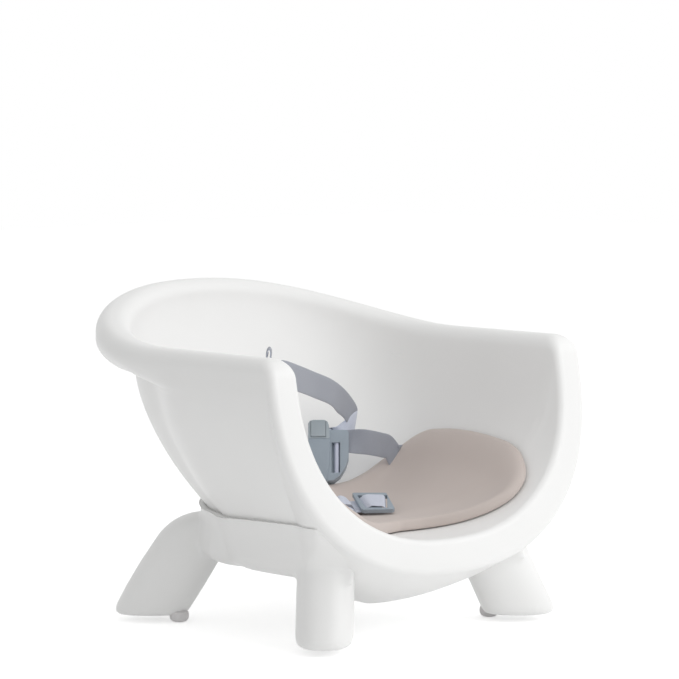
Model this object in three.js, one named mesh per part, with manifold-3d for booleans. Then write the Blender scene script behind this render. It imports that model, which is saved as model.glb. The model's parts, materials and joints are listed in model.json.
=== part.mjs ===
// A low high-chair seat: a double-walled moulded tub on a moulded cradle with four splayed legs,
// a foam pad, and a three-point harness whose buckle hangs on the two waist straps.
// Millimetres, +Z up, the seat opens towards -Y, and the floor is z = 0.
import * as THREE from "three";
import { mergeVertices } from "three/addons/utils/BufferGeometryUtils.js";
import Module from "manifold-3d";

const wasm = await Module();
wasm.setup();

// Clearances
const SEAT_GAP = 0.35; // between a piece and what it rests on
const HOLE_GAP = 0.3; // around a shank, stem or insert

// Tub: rim and front band, with y = 0 halfway between the front and rear feet
const ARM_HALF_WIDTH = 207;
const ARM_RIM_HEIGHT = 275;
const BACK_RIM_RISE = 48; // how much higher the rim is at the back
const BACK_REACH = 226; // rim at the back
const BACK_BEND_Y = 50; // where the straight arms turn into the rounded back
const BACK_POWER = 2.2; // squareness of the rounded back in plan
const RISE_START_Y = 25;
const RISE_POWER = 1.95;
const RIM_THICKNESS = 34; // across the double wall
const RIM_ROUNDING = 15; // almost a full half round
const BAND_ROUNDING = 7; // edges of the flat front band
const BAND_TOP_Z = ARM_RIM_HEIGHT - 25; // the front band is upright above this
const BAND_TOP_Y = -136;
const BAND_LEAN = 0.19; // forward shift of the band for each unit downwards
const BAND_POWER = 2.35; // squareness of the U that the band follows
const LIP_Z = 63; // underside of the front lip
const ARM_CORNER_RADIUS = 22;

// Tub: outer wall
const BOWL_CENTRE_Y = -50;
const BOWL_BOTTOM_Z = 21;
const BOWL_TOP_Z = ARM_RIM_HEIGHT - 31; // above this the outer wall is upright
const BOWL_POWER = 1.6;
const BOWL_BACK_POWER = 1.555;
const LEDGE_DEPTH = 39; // how far the rim stands out over the wall at the back
const LEDGE_HEIGHT = 30;
const LEDGE_START_Y = -5;
const LEDGE_FULL_Y = 106;
const LEDGE_POWER = 1.8; // roundness of the rim's underside

// Tub: inner wall
const PAN_CENTRE_Y = -10;
const PAN_Z = 93;
const PAN_TOP_Z = ARM_RIM_HEIGHT - 25;
const PAN_SIDE_POWER = 2.4;
const PAN_BACK_POWER = 1.5; // the back reclines

// Cradle
const CRADLE_TOP_Z = 119;
const ARM_PROFILE = [
  [121, 3], // height, and how far the arm stands out from the tub there
  [112, 5.5],
  [100, 12],
  [87, 23],
  [75, 33],
  [67, 37],
  [62, 34],
  [60, 24],
];
const ARM_REAR_SWELL = 0.5; // how much more the arms stand out beside the rear legs
const ARM_BITE = 14; // depth of the ring inside the tub's wall, before the tub is cut out
const ARM_TUCK = 6; // the arms' front ends stay this far behind the front band
const LEG_X = 131; // centre of a sole, from the middle of the four feet
const LEG_Y = 123.5;
const SOLE_Z = 4.5;
const LEG_HALF_TANGENT = 27;
const LEG_SQUARENESS = 2.4;
const LEG_POINTS = 24;
const FRONT_LEG_OUTER = [
  [8, 216],
  [38, 202],
  [67, 189.5],
  [119, 166],
];
const FRONT_LEG_ROWS = [
  [4.5, 148, 211, 22], // height, inner reach, outer reach, half width
  [6.5, 145.5, 215, 25.5],
  [11, 143, 215.5, 27],
  [40, 130, 201.5, 27],
  [67, 118, 189.5, 27],
  [121, 94, 166, 27],
];
const REAR_LEG_ROWS = [
  [4.5, 147, 213, 22],
  [6.5, 144, 215.5, 25.5],
  [11, 141, 215.5, 27],
  [33, 127, 204, 27],
  [55, 114, 191, 27],
  [70, 105, 181, 27],
  [79, 100, 175, 26.2],
  [86, 97, 170, 25.5],
  [95, 94, 160, 23],
  [101, 92, 149, 19],
  [104, 91, 138, 14],
];

// Rubber feet
const FOOT_RADIUS = 9.5;
const FOOT_X = 120.5; // from the middle of the four feet
const FOOT_Y = 94;
const FLOOR_Z = -2; // the feet stand out below the soles
const FOOT_STEM_RADIUS = 4;
const FOOT_STEM_LENGTH = 12;

// Cradle screws and the threaded inserts in the tub
const CRADLE_SCREWS = [
  [118, -52], // on each side, from the middle of the four feet
  [80, 54],
];
const SCREW_RADIUS = 2.5;
const SCREW_HEAD_RADIUS = 4.6;
const SCREW_HEAD_HEIGHT = 3.2;
const WASHER_RADIUS = 6.5;
const WASHER_THICKNESS = 1.2;
const COUNTERBORE_RADIUS = 7.5;
const COUNTERBORE_DROP = 12; // below the tub's underside at the screw
const INSERT_RADIUS = 4.5;
const INSERT_BORE = 2.9;
const INSERT_LENGTH = 14;
const INSERT_RISE = 3; // lower end of an insert, above the tub's underside at the screw
const SCREW_SIDES = [-1, 1];

// Seat pad: its outline in plan, from the front middle to the back middle on +X
const PAN_HALF_WIDTH = ARM_HALF_WIDTH - RIM_THICKNESS;
const PAD_SIDE_GAP = 15.8; // between the pad's widest part and the tub's upright inner wall
const PAD_OUTLINE = [
  [0, -93], // share of the half width, and y
  [0.14, -99],
  [0.29, -110],
  [0.43, -121],
  [0.6, -133],
  [0.72, -138],
  [0.83, -135],
  [0.92, -121],
  [0.97, -99],
  [0.99, -70],
  [1, -30],
  [0.996, 2],
  [0.98, 22],
  [0.935, 37],
  [0.85, 47.5],
  [0.73, 53],
  [0.55, 53],
  [0.3, 49],
  [0, 46],
];
const PAD_CENTRE_Y = -40;
const PAD_LIFT = 2.4; // the underside, above the true curve of the tub
const PAD_SECTION = [
  [0.985, 2.4], // share of the outline's reach, and height above the tub
  [1, 4.5],
  [0.99, 8.5],
  [0.955, 11.2],
  [0.9, 11.8],
  [0.82, 10.4],
  [0.6, 9.5],
  [0.3, 9.5],
];
const PAD_STEPS = 30; // points along half the outline
const PAD_SLOT = { halfWidth: 21, from: -26, to: -1 }; // opening for the crotch strap

// Webbing
const WEB_WIDTH = 25;
const WEB_THICKNESS = 1.4;
const WEB_STEPS = 3; // sections from one stop to the next

function bandY(z) {
  return BAND_TOP_Y - BAND_LEAN * (BAND_TOP_Z - z);
}

function smoothStep(t) {
  const u = Math.min(Math.max(t, 0), 1);
  return u * u * (3 - 2 * u);
}

function rimZ(y) {
  const t = Math.max(y - RISE_START_Y, 0) / (BACK_REACH - RISE_START_Y);
  return ARM_RIM_HEIGHT + BACK_RIM_RISE * t ** RISE_POWER;
}

// Solids

function geometryFrom(points, faces) {
  const geometry = new THREE.BufferGeometry();
  geometry.setAttribute("position", new THREE.Float32BufferAttribute(points.flat(), 3));
  geometry.setIndex(faces.flat());
  return geometry;
}

function toSolid(geometry, matrix) {
  const bare = geometry.clone();
  bare.deleteAttribute("normal");
  bare.deleteAttribute("uv");
  if (matrix) bare.applyMatrix4(matrix);
  const merged = mergeVertices(bare, 1e-4);
  const mesh = new wasm.Mesh({
    numProp: 3,
    vertProperties: merged.attributes.position.array,
    triVerts: new Uint32Array(merged.index.array),
  });
  return new wasm.Manifold(mesh);
}

function toGeometry(solid) {
  const mesh = solid.getMesh();
  const geometry = new THREE.BufferGeometry();
  geometry.setAttribute("position", new THREE.BufferAttribute(mesh.vertProperties, 3));
  geometry.setIndex(new THREE.BufferAttribute(mesh.triVerts, 1));
  return geometry;
}

const inWorld = (solid, matrix) => toSolid(toGeometry(solid), matrix);

// Closed skin over columns of points that run from one pole to the other.
function poleToPole(columns, firstPole, lastPole) {
  const rows = columns[0].length;
  const points = columns.flat().concat([firstPole, lastPole]);
  const first = points.length - 2;
  const last = points.length - 1;
  const faces = [];
  columns.forEach((_, k) => {
    const a = k * rows;
    const b = ((k + 1) % columns.length) * rows;
    faces.push([first, a, b]);
    for (let j = 0; j + 1 < rows; j += 1) {
      faces.push([a + j, a + j + 1, b + j + 1]);
      faces.push([a + j, b + j + 1, b + j]);
    }
    faces.push([last, b + rows - 1, a + rows - 1]);
  });
  return geometryFrom(points, faces);
}

// The loop that the rim and the front band follow, from the front middle to the back middle on +X.
// Each entry has a point on the rim, the way its edge faces, and the edge's rounding.
const BAND_STEPS = 12;
const CORNER_STEPS = 5;
const ARM_STEPS = 4;
const BACK_STEPS = 11;

function halfLoop(inset) {
  const lean = Math.atan(BAND_LEAN);
  const facing = [0, -Math.cos(lean), Math.sin(lean)];
  const halfWidth = ARM_HALF_WIDTH - inset;
  const entries = [];
  for (let i = 0; i <= BAND_STEPS; i += 1) {
    const angle = (Math.PI / 2) * (i / BAND_STEPS);
    const x = halfWidth * Math.sin(angle) ** (2 / BAND_POWER);
    const drop = Math.max(Math.cos(angle), 0) ** (2 / BAND_POWER);
    const z = BAND_TOP_Z - (BAND_TOP_Z - LIP_Z - inset) * drop;
    entries.push({ point: [x, bandY(z), z], facing, rounding: BAND_ROUNDING, ledge: 0, back: 0 });
  }
  const cornerZ = ARM_RIM_HEIGHT - ARM_CORNER_RADIUS;
  const cornerY = bandY(cornerZ) + ARM_CORNER_RADIUS / Math.cos(lean);
  for (let i = 0; i <= CORNER_STEPS; i += 1) {
    const t = i / CORNER_STEPS;
    const angle = lean + (Math.PI / 2 - lean) * t;
    const y = cornerY - ARM_CORNER_RADIUS * Math.cos(angle);
    const z = cornerZ + ARM_CORNER_RADIUS * Math.sin(angle);
    entries.push({
      point: [halfWidth, y, z],
      facing: [0, -Math.cos(angle), Math.sin(angle)],
      rounding: BAND_ROUNDING + (RIM_ROUNDING - BAND_ROUNDING) * smoothStep(t),
      ledge: 0,
      back: 0,
    });
  }
  const addRim = (x, y, outerY) => {
    entries.push({
      point: [x, y, rimZ(outerY)],
      facing: [0, 0, 1],
      rounding: RIM_ROUNDING,
      ledge: LEDGE_DEPTH * smoothStep((outerY - LEDGE_START_Y) / (LEDGE_FULL_Y - LEDGE_START_Y)),
      back: smoothStep(outerY / BACK_REACH),
    });
  };
  for (let i = 1; i <= ARM_STEPS; i += 1) {
    const y = cornerY + (BACK_BEND_Y - cornerY) * (i / ARM_STEPS);
    addRim(halfWidth, y, y);
  }
  for (let i = 1; i <= BACK_STEPS; i += 1) {
    const angle = (Math.PI / 2) * (i / BACK_STEPS);
    const across = i < BACK_STEPS ? Math.cos(angle) ** (2 / BACK_POWER) : 0;
    const along = Math.sin(angle) ** (2 / BACK_POWER);
    const outerY = BACK_BEND_Y + (BACK_REACH - BACK_BEND_Y) * along;
    addRim(halfWidth * across, BACK_BEND_Y + (BACK_REACH - inset - BACK_BEND_Y) * along, outerY);
  }
  return entries;
}

// Both halves as one loop, anticlockwise from above.
function fullLoop(inset) {
  const half = halfLoop(inset);
  const mirrored = half
    .slice(1, -1)
    .reverse()
    .map((e) => ({ ...e, point: [-e.point[0], e.point[1], e.point[2]] }));
  return half.concat(mirrored);
}

const moved = (x, y, z = 0) => new THREE.Matrix4().makeTranslation(x, y, z);
const add = (a, b, scale = 1) => a.map((v, i) => v + b[i] * scale);
const unit = (a) => {
  const size = Math.hypot(...a);
  return a.map((v) => v / size);
};

// One wall of the tub, as a curve in the upright plane through its axis and one edge point.
function wallCurve(edge, centreY, bottomZ, topZ, power, inset = 0) {
  const dx = edge[0];
  const dy = edge[1] - centreY;
  const reach = Math.hypot(dx, dy);
  const share = (z) => {
    const ratio = Math.min(Math.max((topZ - z) / (topZ - bottomZ), 0), 1);
    return (1 - ratio ** power) ** (1 / power);
  };
  const full = edge[2] < topZ ? reach / share(edge[2]) : reach - inset;
  return {
    values: [full, topZ, power],
    at: (distance, z) => [(dx / reach) * distance, centreY + (dy / reach) * distance, z],
    distanceAt: (z) => full * share(z),
    turnAt: (z) => Math.acos(Math.min((topZ - Math.min(z, topZ)) / (topZ - bottomZ), 1) ** (power / 2)),
    pointAt(turn) {
      const z = topZ - (topZ - bottomZ) * Math.cos(turn) ** (2 / power);
      return this.at(full * Math.sin(turn) ** (2 / power), z);
    },
  };
}

const INNER_ROWS = 9;
const CAP_ROWS = 3;
const LEDGE_ROWS = 4;
const OUTER_ROWS = 10;

const edgeOf = (entry) => add(entry.point, entry.facing, -entry.rounding);

const ARM_EDGE_Z = ARM_RIM_HEIGHT - RIM_ROUNDING; // where the arms' inner wall meets the rounding

// Above its own top height the inner wall is upright. That height eases up from the front band,
// whose wall starts lower, to the arms.
function panWall(entry) {
  const edge = edgeOf(entry);
  const power = PAN_SIDE_POWER + (PAN_BACK_POWER - PAN_SIDE_POWER) * entry.back;
  const eased = smoothStep((edge[2] - PAN_Z) / (ARM_EDGE_Z - PAN_Z));
  const topZ = PAN_TOP_Z + (ARM_EDGE_Z - PAN_TOP_Z) * eased;
  return wallCurve(edge, PAN_CENTRE_Y, PAN_Z, Math.max(edge[2] + 0.01, topZ), power);
}

function innerRows(entry) {
  const edge = edgeOf(entry);
  const wall = panWall(entry);
  const edgeTurn = wall.turnAt(edge[2]);
  const rows = [];
  for (let j = 1; j < INNER_ROWS; j += 1) rows.push(wall.pointAt(edgeTurn * (j / INNER_ROWS)));
  return rows.concat([edge]);
}

function capRows(inner, outer) {
  const across = unit(add(outer.point, inner.point, -1));
  const r = outer.rounding;
  const rows = [];
  const innerHub = add(add(inner.point, inner.facing, -r), across, r);
  const outerHub = add(add(outer.point, outer.facing, -r), across, -r);
  for (let j = 1; j <= CAP_ROWS; j += 1) {
    const angle = (Math.PI / 2) * (j / CAP_ROWS);
    rows.push(add(add(innerHub, across, -r * Math.cos(angle)), inner.facing, r * Math.sin(angle)));
  }
  for (let j = 0; j <= CAP_ROWS; j += 1) {
    const angle = (Math.PI / 2) * (j / CAP_ROWS);
    rows.push(add(add(outerHub, across, r * Math.sin(angle)), outer.facing, r * Math.cos(angle)));
  }
  return rows;
}

function bowlWall(entry) {
  const power = BOWL_POWER + (BOWL_BACK_POWER - BOWL_POWER) * entry.back;
  return wallCurve(edgeOf(entry), BOWL_CENTRE_Y, BOWL_BOTTOM_Z, BOWL_TOP_Z, power, entry.ledge);
}

function outerRows(entry) {
  const edge = edgeOf(entry);
  const wall = bowlWall(entry);
  const footZ = Math.min(BOWL_TOP_Z, edge[2] - 0.09 * (edge[2] - BOWL_BOTTOM_Z));
  const headZ = Math.min(footZ + LEDGE_HEIGHT, edge[2] - 1);
  const rows = [];
  for (let j = 0; j <= LEDGE_ROWS; j += 1) {
    const angle = (Math.PI / 2) * (j / LEDGE_ROWS);
    const z = headZ - (headZ - footZ) * Math.sin(angle) ** (2 / LEDGE_POWER);
    const proud = j < LEDGE_ROWS ? entry.ledge * Math.cos(angle) ** (2 / LEDGE_POWER) : 0;
    rows.push(wall.at(wall.distanceAt(z) + proud, z));
  }
  const footTurn = wall.turnAt(footZ);
  for (let j = 1; j < OUTER_ROWS; j += 1) rows.push(wall.pointAt(footTurn * (1 - j / OUTER_ROWS)));
  return rows;
}

function makeTub() {
  const outer = fullLoop(0);
  const inner = fullLoop(RIM_THICKNESS);
  const columns = outer.map((entry, k) => [
    ...innerRows(inner[k]),
    ...capRows(inner[k], entry),
    ...outerRows(entry),
  ]);
  return toSolid(poleToPole(columns, [0, PAN_CENTRE_Y, PAN_Z], [0, BOWL_CENTRE_Y, BOWL_BOTTOM_Z]));
}

// The tub's outer wall as a filled body, to cut its seat in the cradle.
function makeBowl() {
  const columns = fullLoop(0).map((entry) => outerRows(entry));
  const lid = [0, BOWL_CENTRE_Y, ARM_RIM_HEIGHT + BACK_RIM_RISE];
  return toSolid(poleToPole(columns, lid, [0, BOWL_CENTRE_Y, BOWL_BOTTOM_Z]));
}

// Closed skin over closed sections, either capped at both ends or joined end to end.
function loft(sections, joined = false) {
  const size = sections[0].length;
  const points = sections.flat();
  const faces = [];
  const bands = joined ? sections.length : sections.length - 1;
  for (let k = 0; k < bands; k += 1) {
    const a = k * size;
    const b = ((k + 1) % sections.length) * size;
    for (let j = 0; j < size; j += 1) {
      const next = (j + 1) % size;
      faces.push([a + j, a + next, b + next], [a + j, b + next, b + j]);
    }
  }
  if (!joined)
    [0, sections.length - 1].forEach((k) => {
      const middle = points.length;
      const section = sections[k];
      points.push(section.reduce((sum, p) => add(sum, p, 1 / size), [0, 0, 0]));
      for (let j = 0; j < size; j += 1) {
        const pair = [k * size + j, k * size + ((j + 1) % size)];
        if (k === 0) pair.reverse();
        faces.push([middle, ...pair]);
      }
    });
  const solid = toSolid(geometryFrom(points, faces));
  return solid.volume() > 0 ? solid : toSolid(geometryFrom(points, faces.map((f) => f.reverse())));
}

function boxSolid(low, high, matrix) {
  const size = add(high, low, -1);
  const geometry = new THREE.BoxGeometry(...size);
  geometry.translate(...add(low, size, 0.5));
  return toSolid(geometry, matrix);
}

function rodSolid(radius, low, high, steps = 20) {
  const geometry = new THREE.CylinderGeometry(radius, radius, high - low, steps);
  geometry.rotateX(Math.PI / 2);
  geometry.translate(0, 0, (low + high) / 2);
  return toSolid(geometry);
}

const LEG_REACH = Math.hypot(LEG_X, LEG_Y);

// Value at z on a rising run of [z, value] pairs, going straight on past either end.
function valueAt(pairs, z) {
  const after = pairs.findIndex((pair) => pair[0] >= z);
  const k = after < 0 ? pairs.length - 1 : Math.max(after, 1);
  const [z0, v0] = pairs[k - 1];
  const [z1, v1] = pairs[k];
  return v0 + ((v1 - v0) * (z - z0)) / (z1 - z0);
}

const oval = (v) => Math.sign(v) * Math.abs(v) ** (2 / LEG_SQUARENESS);

// A splayed oval leg, lofted from [height, inner reach, outer reach, half width] rows.
function makeLeg(rows, sideX, sideY) {
  const outward = [(sideX * LEG_X) / LEG_REACH, (sideY * LEG_Y) / LEG_REACH];
  const sections = rows.map(([z, inner, outer, halfWidth]) => {
    const section = [];
    for (let j = 0; j < LEG_POINTS; j += 1) {
      const angle = (2 * Math.PI * (j + 0.5)) / LEG_POINTS;
      const c = Math.cos(angle);
      const s = Math.sin(angle);
      const reach = (inner + outer) / 2 + ((outer - inner) / 2) * oval(c);
      const across = halfWidth * oval(s);
      const x = outward[0] * reach - outward[1] * across;
      const y = outward[1] * reach + outward[0] * across;
      section.push([x, y, z]);
    }
    return section;
  });
  return loft(sections);
}

// The cradle's arms: a ring that follows the tub's wall. It is cut open between the front legs.
function makeArms() {
  const bandSupport = (z) => {
    const drop = Math.min((BAND_TOP_Z - z) / (BAND_TOP_Z - LIP_Z), 1);
    const halfWidth = ARM_HALF_WIDTH * (1 - drop ** BAND_POWER) ** (1 / BAND_POWER);
    return (halfWidth * LEG_X - bandY(z) * LEG_Y) / LEG_REACH;
  };
  const sections = fullLoop(0).map((entry) => {
    const wall = bowlWall(entry);
    const reachLimit = (distance, z) => {
      const p = wall.at(distance, z);
      const support = (Math.abs(p[0]) * LEG_X - p[1] * LEG_Y) / LEG_REACH;
      const most = Math.max(bandSupport(z), valueAt(FRONT_LEG_OUTER, z)) - ARM_TUCK;
      return distance - Math.max(support - most, 0);
    };
    const [, y] = entry.point;
    const beside = smoothStep((y - 38) / 50) * (1 - smoothStep((y - 150) / 60));
    const outer = ARM_PROFILE.map(([z, proud]) => {
      const swell = 1 + ARM_REAR_SWELL * beside * smoothStep((118 - z) / 35);
      const distance = reachLimit(wall.distanceAt(z) + proud * swell, z);
      return wall.at(Math.max(distance, wall.distanceAt(z) - 1), z);
    });
    const inner = [ARM_PROFILE[ARM_PROFILE.length - 1][0], ARM_PROFILE[0][0]].map((z) =>
      wall.at(wall.distanceAt(z) - ARM_BITE, z),
    );
    return outer.concat(inner);
  });
  const ring = loft(sections, true);
  const far = 400;
  const left = [-(LEG_X / LEG_REACH) * far, -(LEG_Y / LEG_REACH) * far];
  const apex = -LEG_HALF_TANGENT / (LEG_X / LEG_REACH);
  const wedge = [-20, 200].map((z) => [
    [0, apex, z],
    [left[0], apex + left[1], z],
    [-left[0], apex + left[1], z],
  ]);
  const lean = new THREE.Matrix4().makeShear(0, 0, 0, 0, 0, 0);
  lean.elements[9] = BAND_LEAN;
  const frontY = BAND_TOP_Y - BAND_LEAN * BAND_TOP_Z + ARM_TUCK + 4;
  const ahead = boxSolid([-far, -far, -10], [far, frontY, 300], lean);
  return ring.subtract(loft(wedge)).subtract(ahead);
}

function makeCradle() {
  let body = makeArms();
  [-1, 1].forEach((sideX) => {
    body = body.add(makeLeg(FRONT_LEG_ROWS, sideX, -1)).add(makeLeg(REAR_LEG_ROWS, sideX, 1));
  });
  const reach = 300;
  body = body.intersect(boxSolid([-reach, -reach, SOLE_Z], [reach, reach, CRADLE_TOP_Z]));
  const bowl = makeBowl();
  const tub = makeTub();
  return [bowl, tub, bowl.translate([0, 0, -SEAT_GAP]), tub.translate([0, 0, -SEAT_GAP])].reduce(
    (rest, cutter) => rest.subtract(cutter),
    body,
  );
}

// Height of one of the tub's walls over any place in plan.
function heightOver(inset, wallOf, centreY, bottomZ) {
  const table = halfLoop(inset).map((entry) => {
    const edge = edgeOf(entry);
    return { angle: Math.atan2(edge[1] - centreY, edge[0]), values: wallOf(entry).values };
  });
  return (x, y) => {
    const angle = Math.atan2(y - centreY, Math.abs(x));
    const after = table.findIndex((entry) => entry.angle > angle);
    const k = after < 0 ? table.length - 1 : Math.max(after, 1);
    const low = table[k - 1];
    const high = table[k];
    const t = Math.min(Math.max((angle - low.angle) / (high.angle - low.angle), 0), 1);
    const [full, topZ, power] = low.values.map((v, i) => v + (high.values[i] - v) * t);
    const share = Math.min(Math.hypot(x, y - centreY) / full, 0.9995);
    return topZ - (topZ - bottomZ) * (1 - share ** power) ** (1 / power);
  };
}

const panHeight = heightOver(RIM_THICKNESS, panWall, PAN_CENTRE_Y, PAN_Z);
const bowlHeight = heightOver(0, bowlWall, BOWL_CENTRE_Y, BOWL_BOTTOM_Z);

// A frame on the inner wall: its z axis is the wall's normal and its x axis is as given.
function panFrame(x, y, xAxis) {
  const h = 2;
  const slopeX = (panHeight(x + h, y) - panHeight(x - h, y)) / (2 * h);
  const slopeY = (panHeight(x, y + h) - panHeight(x, y - h)) / (2 * h);
  const normal = new THREE.Vector3(-slopeX, -slopeY, 1).normalize();
  const across = new THREE.Vector3(...xAxis);
  across.addScaledVector(normal, -across.dot(normal)).normalize();
  const third = new THREE.Vector3().crossVectors(normal, across);
  return new THREE.Matrix4().makeBasis(across, third, normal).setPosition(x, y, panHeight(x, y));
}

function onPan(x, y, height) {
  return new THREE.Vector3(0, 0, height).applyMatrix4(panFrame(x, y, [1, 0, 0])).toArray();
}

const overPan = (x, y, rise) => [x, y, panHeight(x, y) + rise];

// Takes away what would sink into the tub.
function seatOnTub(solid) {
  const tub = makeTub();
  return solid.subtract(tub.translate([0, 0, SEAT_GAP])).subtract(tub);
}

function makePad() {
  const halfWidth = PAN_HALF_WIDTH - PAD_SIDE_GAP;
  const outline = PAD_OUTLINE.map(([share, y]) => new THREE.Vector3(share * halfWidth, y, 0));
  const right = new THREE.CatmullRomCurve3(outline).getSpacedPoints(PAD_STEPS).map((p) => [p.x, p.y]);
  const left = right
    .slice(1, -1)
    .reverse()
    .map(([x, y]) => [-x, y]);
  const inset = (x, y, share, height) => {
    return onPan(x * share, PAD_CENTRE_Y + (y - PAD_CENTRE_Y) * share, height);
  };
  const columns = right.concat(left).map(([x, y]) => {
    const top = PAD_SECTION.map(([share, height]) => inset(x, y, share, height)).reverse();
    return top.concat([0.85, 0.6, 0.3].map((share) => inset(x, y, share, PAD_LIFT)));
  });
  const middle = onPan(0, PAD_CENTRE_Y, PAD_SECTION[PAD_SECTION.length - 1][1]);
  return toSolid(poleToPole(columns, middle, onPan(0, PAD_CENTRE_Y, PAD_LIFT)));
}

// Webbing along a smooth path. Each stop is a point and the direction of the webbing's width.
function makeWeb(stops, width, thickness) {
  const curve = new THREE.CatmullRomCurve3(
    stops.map(([p]) => new THREE.Vector3(...p)),
    false,
    "centripetal",
  );
  const corners = [
    [-1, -1],
    [1, -1],
    [1, 1],
    [-1, 1],
  ];
  const steps = (stops.length - 1) * WEB_STEPS;
  const sections = [];
  for (let i = 0; i <= steps; i += 1) {
    const point = curve.getPoint(i / steps);
    const tangent = curve.getTangent(i / steps);
    const k = Math.min(Math.floor(i / WEB_STEPS), stops.length - 2);
    const from = new THREE.Vector3(...stops[k][1]).normalize();
    const across = from.lerp(new THREE.Vector3(...stops[k + 1][1]).normalize(), i / WEB_STEPS - k);
    across.addScaledVector(tangent, -across.dot(tangent)).normalize();
    const face = new THREE.Vector3().crossVectors(tangent, across);
    sections.push(
      corners.map(([a, b]) => {
        const corner = point.clone().addScaledVector(across, (a * width) / 2);
        return corner.addScaledVector(face, (b * thickness) / 2).toArray();
      }),
    );
  }
  return loft(sections);
}

// A frame that faces the front left and leans back by the given tilt.
const FRONT_LEFT = [-0.69, -0.724, 0];
const ACROSS = [0.724, -0.69, 0];
function leaningFrame(centre, tilt) {
  const out = new THREE.Vector3(...unit(FRONT_LEFT)).multiplyScalar(Math.cos(tilt));
  out.z = Math.sin(tilt);
  const across = new THREE.Vector3(...unit(ACROSS));
  const up = new THREE.Vector3().crossVectors(out, across);
  return new THREE.Matrix4().makeBasis(across, up, out).setPosition(...centre);
}

// Receiver: its own frame has x to the right, y up and z out of its face.
const RECEIVER_CENTRE = [41.2, 51.3, 154.5];
const RECEIVER_TILT = 0.5;
const receiverFrame = leaningFrame(RECEIVER_CENTRE, RECEIVER_TILT);

const RECEIVER_OUTLINE = [
  [-21, 33],
  [-19.5, 35.5],
  [-16, 36.8],
  [-5, 36.8],
  [-2, 35],
  [-0.6, 31],
  [0.4, 26.5],
  [19, 26],
  [21, 24],
  [21, -4],
  [18, -16],
  [12, -26],
  [5, -31.5],
  [-5, -32.5],
  [-12, -27],
  [-18, -16],
  [-21, -4],
];

function slab(outline, low, high, matrix) {
  const shape = new THREE.Shape(outline.map(([x, y]) => new THREE.Vector2(x, y)));
  const geometry = new THREE.ExtrudeGeometry(shape, { depth: high - low, bevelEnabled: false });
  geometry.translate(0, 0, low);
  return toSolid(geometry, matrix);
}

const scaled = (outline, share) => outline.map(([x, y]) => [x * share, y * share]);

// The pieces below are made in the receiver's own frame.
function makeReceiverFront() {
  const middle = slab(RECEIVER_OUTLINE, -4, 5);
  const face = loft([
    RECEIVER_OUTLINE.map(([x, y]) => [x, y, 4.5]),
    scaled(RECEIVER_OUTLINE, 0.98).map(([x, y]) => [x, y, 6]),
    scaled(RECEIVER_OUTLINE, 0.93).map(([x, y]) => [x, y, 7]),
  ]);
  const cuts = [
    slab(scaled(RECEIVER_OUTLINE, 0.88), -5, 5.2), // inside
    boxSolid([-18.1, 18.2, 2], [-4.7, 33.3, 9]), // button hole
    boxSolid([-18.9, 16.6, -5], [-3.4, 34.3, 3.2]), // button pocket
    boxSolid([2.6, -20, 2], [12, 12, 9]), // window over the strap bar
    boxSolid([12.8, -1.5, -2], [24, 25.4, 3]), // side slot
    boxSolid([-7.2, 19, -4.5], [19.2, 38, -1.6]), // top slot
  ];
  return cuts.reduce((rest, cut) => rest.subtract(cut), middle.add(face));
}

function makeReceiverBack() {
  return slab(RECEIVER_OUTLINE, -6.2, -4.3);
}

function makeButton() {
  const cap = boxSolid([-17.8, 18.5, 0.8], [-5, 33, 8.4]);
  const flange = boxSolid([-18.5, 17.1, 0.8], [-3.8, 33.9, 2.6]);
  return cap.add(flange).subtract(boxSolid([-16.2, 20.8, 0], [-7.8, 29.2, 4.4]));
}

// A helix, lofted from round sections.
function makeSpring(coilRadius, wireRadius, low, high, turns) {
  const sections = [];
  const steps = turns * 10;
  for (let i = 0; i <= steps; i += 1) {
    const angle = (2 * Math.PI * turns * i) / steps;
    const z = low + wireRadius + (high - low - 2 * wireRadius) * (i / steps);
    const section = [];
    for (let j = 0; j < 6; j += 1) {
      const turn = (2 * Math.PI * j) / 6;
      const r = coilRadius + wireRadius * Math.cos(turn);
      section.push([r * Math.cos(angle), r * Math.sin(angle), z + wireRadius * Math.sin(turn)]);
    }
    sections.push(section);
  }
  return loft(sections);
}

function lathe(profile, steps = 18) {
  const geometry = new THREE.LatheGeometry(
    profile.map(([r, z]) => new THREE.Vector2(r, z)),
    steps,
  );
  geometry.rotateX(Math.PI / 2);
  const solid = toSolid(geometry);
  if (solid.volume() > 0) return solid;
  const turned = new THREE.LatheGeometry(
    [...profile].reverse().map(([r, z]) => new THREE.Vector2(r, z)),
    steps,
  );
  turned.rotateX(Math.PI / 2);
  return toSolid(turned);
}

const barSolid = inWorld(
  rodSolid(2.6, -21, 13.5, 16),
  new THREE.Matrix4().makeRotationX(-Math.PI / 2).setPosition(7.6, 0, 1.85),
);

const white = new THREE.MeshStandardMaterial({ color: 0xf0f0ee, roughness: 0.45, metalness: 0 });
const rubber = new THREE.MeshStandardMaterial({ color: 0xb3b2b0, roughness: 0.8, metalness: 0 });
const foam = new THREE.MeshStandardMaterial({ color: 0xb9aca6, roughness: 0.9, metalness: 0 });
const webbing = new THREE.MeshStandardMaterial({ color: 0x989ca6, roughness: 0.85, metalness: 0 });
const grey = new THREE.MeshStandardMaterial({ color: 0x8f99a2, roughness: 0.5, metalness: 0 });
const lightGrey = new THREE.MeshStandardMaterial({ color: 0xa2abb0, roughness: 0.5, metalness: 0 });
const steel = new THREE.MeshStandardMaterial({ color: 0xa8aaad, roughness: 0.35, metalness: 1 });
const brass = new THREE.MeshStandardMaterial({ color: 0xb79a5b, roughness: 0.35, metalness: 1 });

const assembly = new THREE.Group();

function place(name, solid, material, matrix) {
  const geometry = toGeometry(solid);
  if (matrix) geometry.applyMatrix4(matrix);
  const mesh = new THREE.Mesh(geometry, material);
  mesh.name = name;
  assembly.add(mesh);
}


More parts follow.
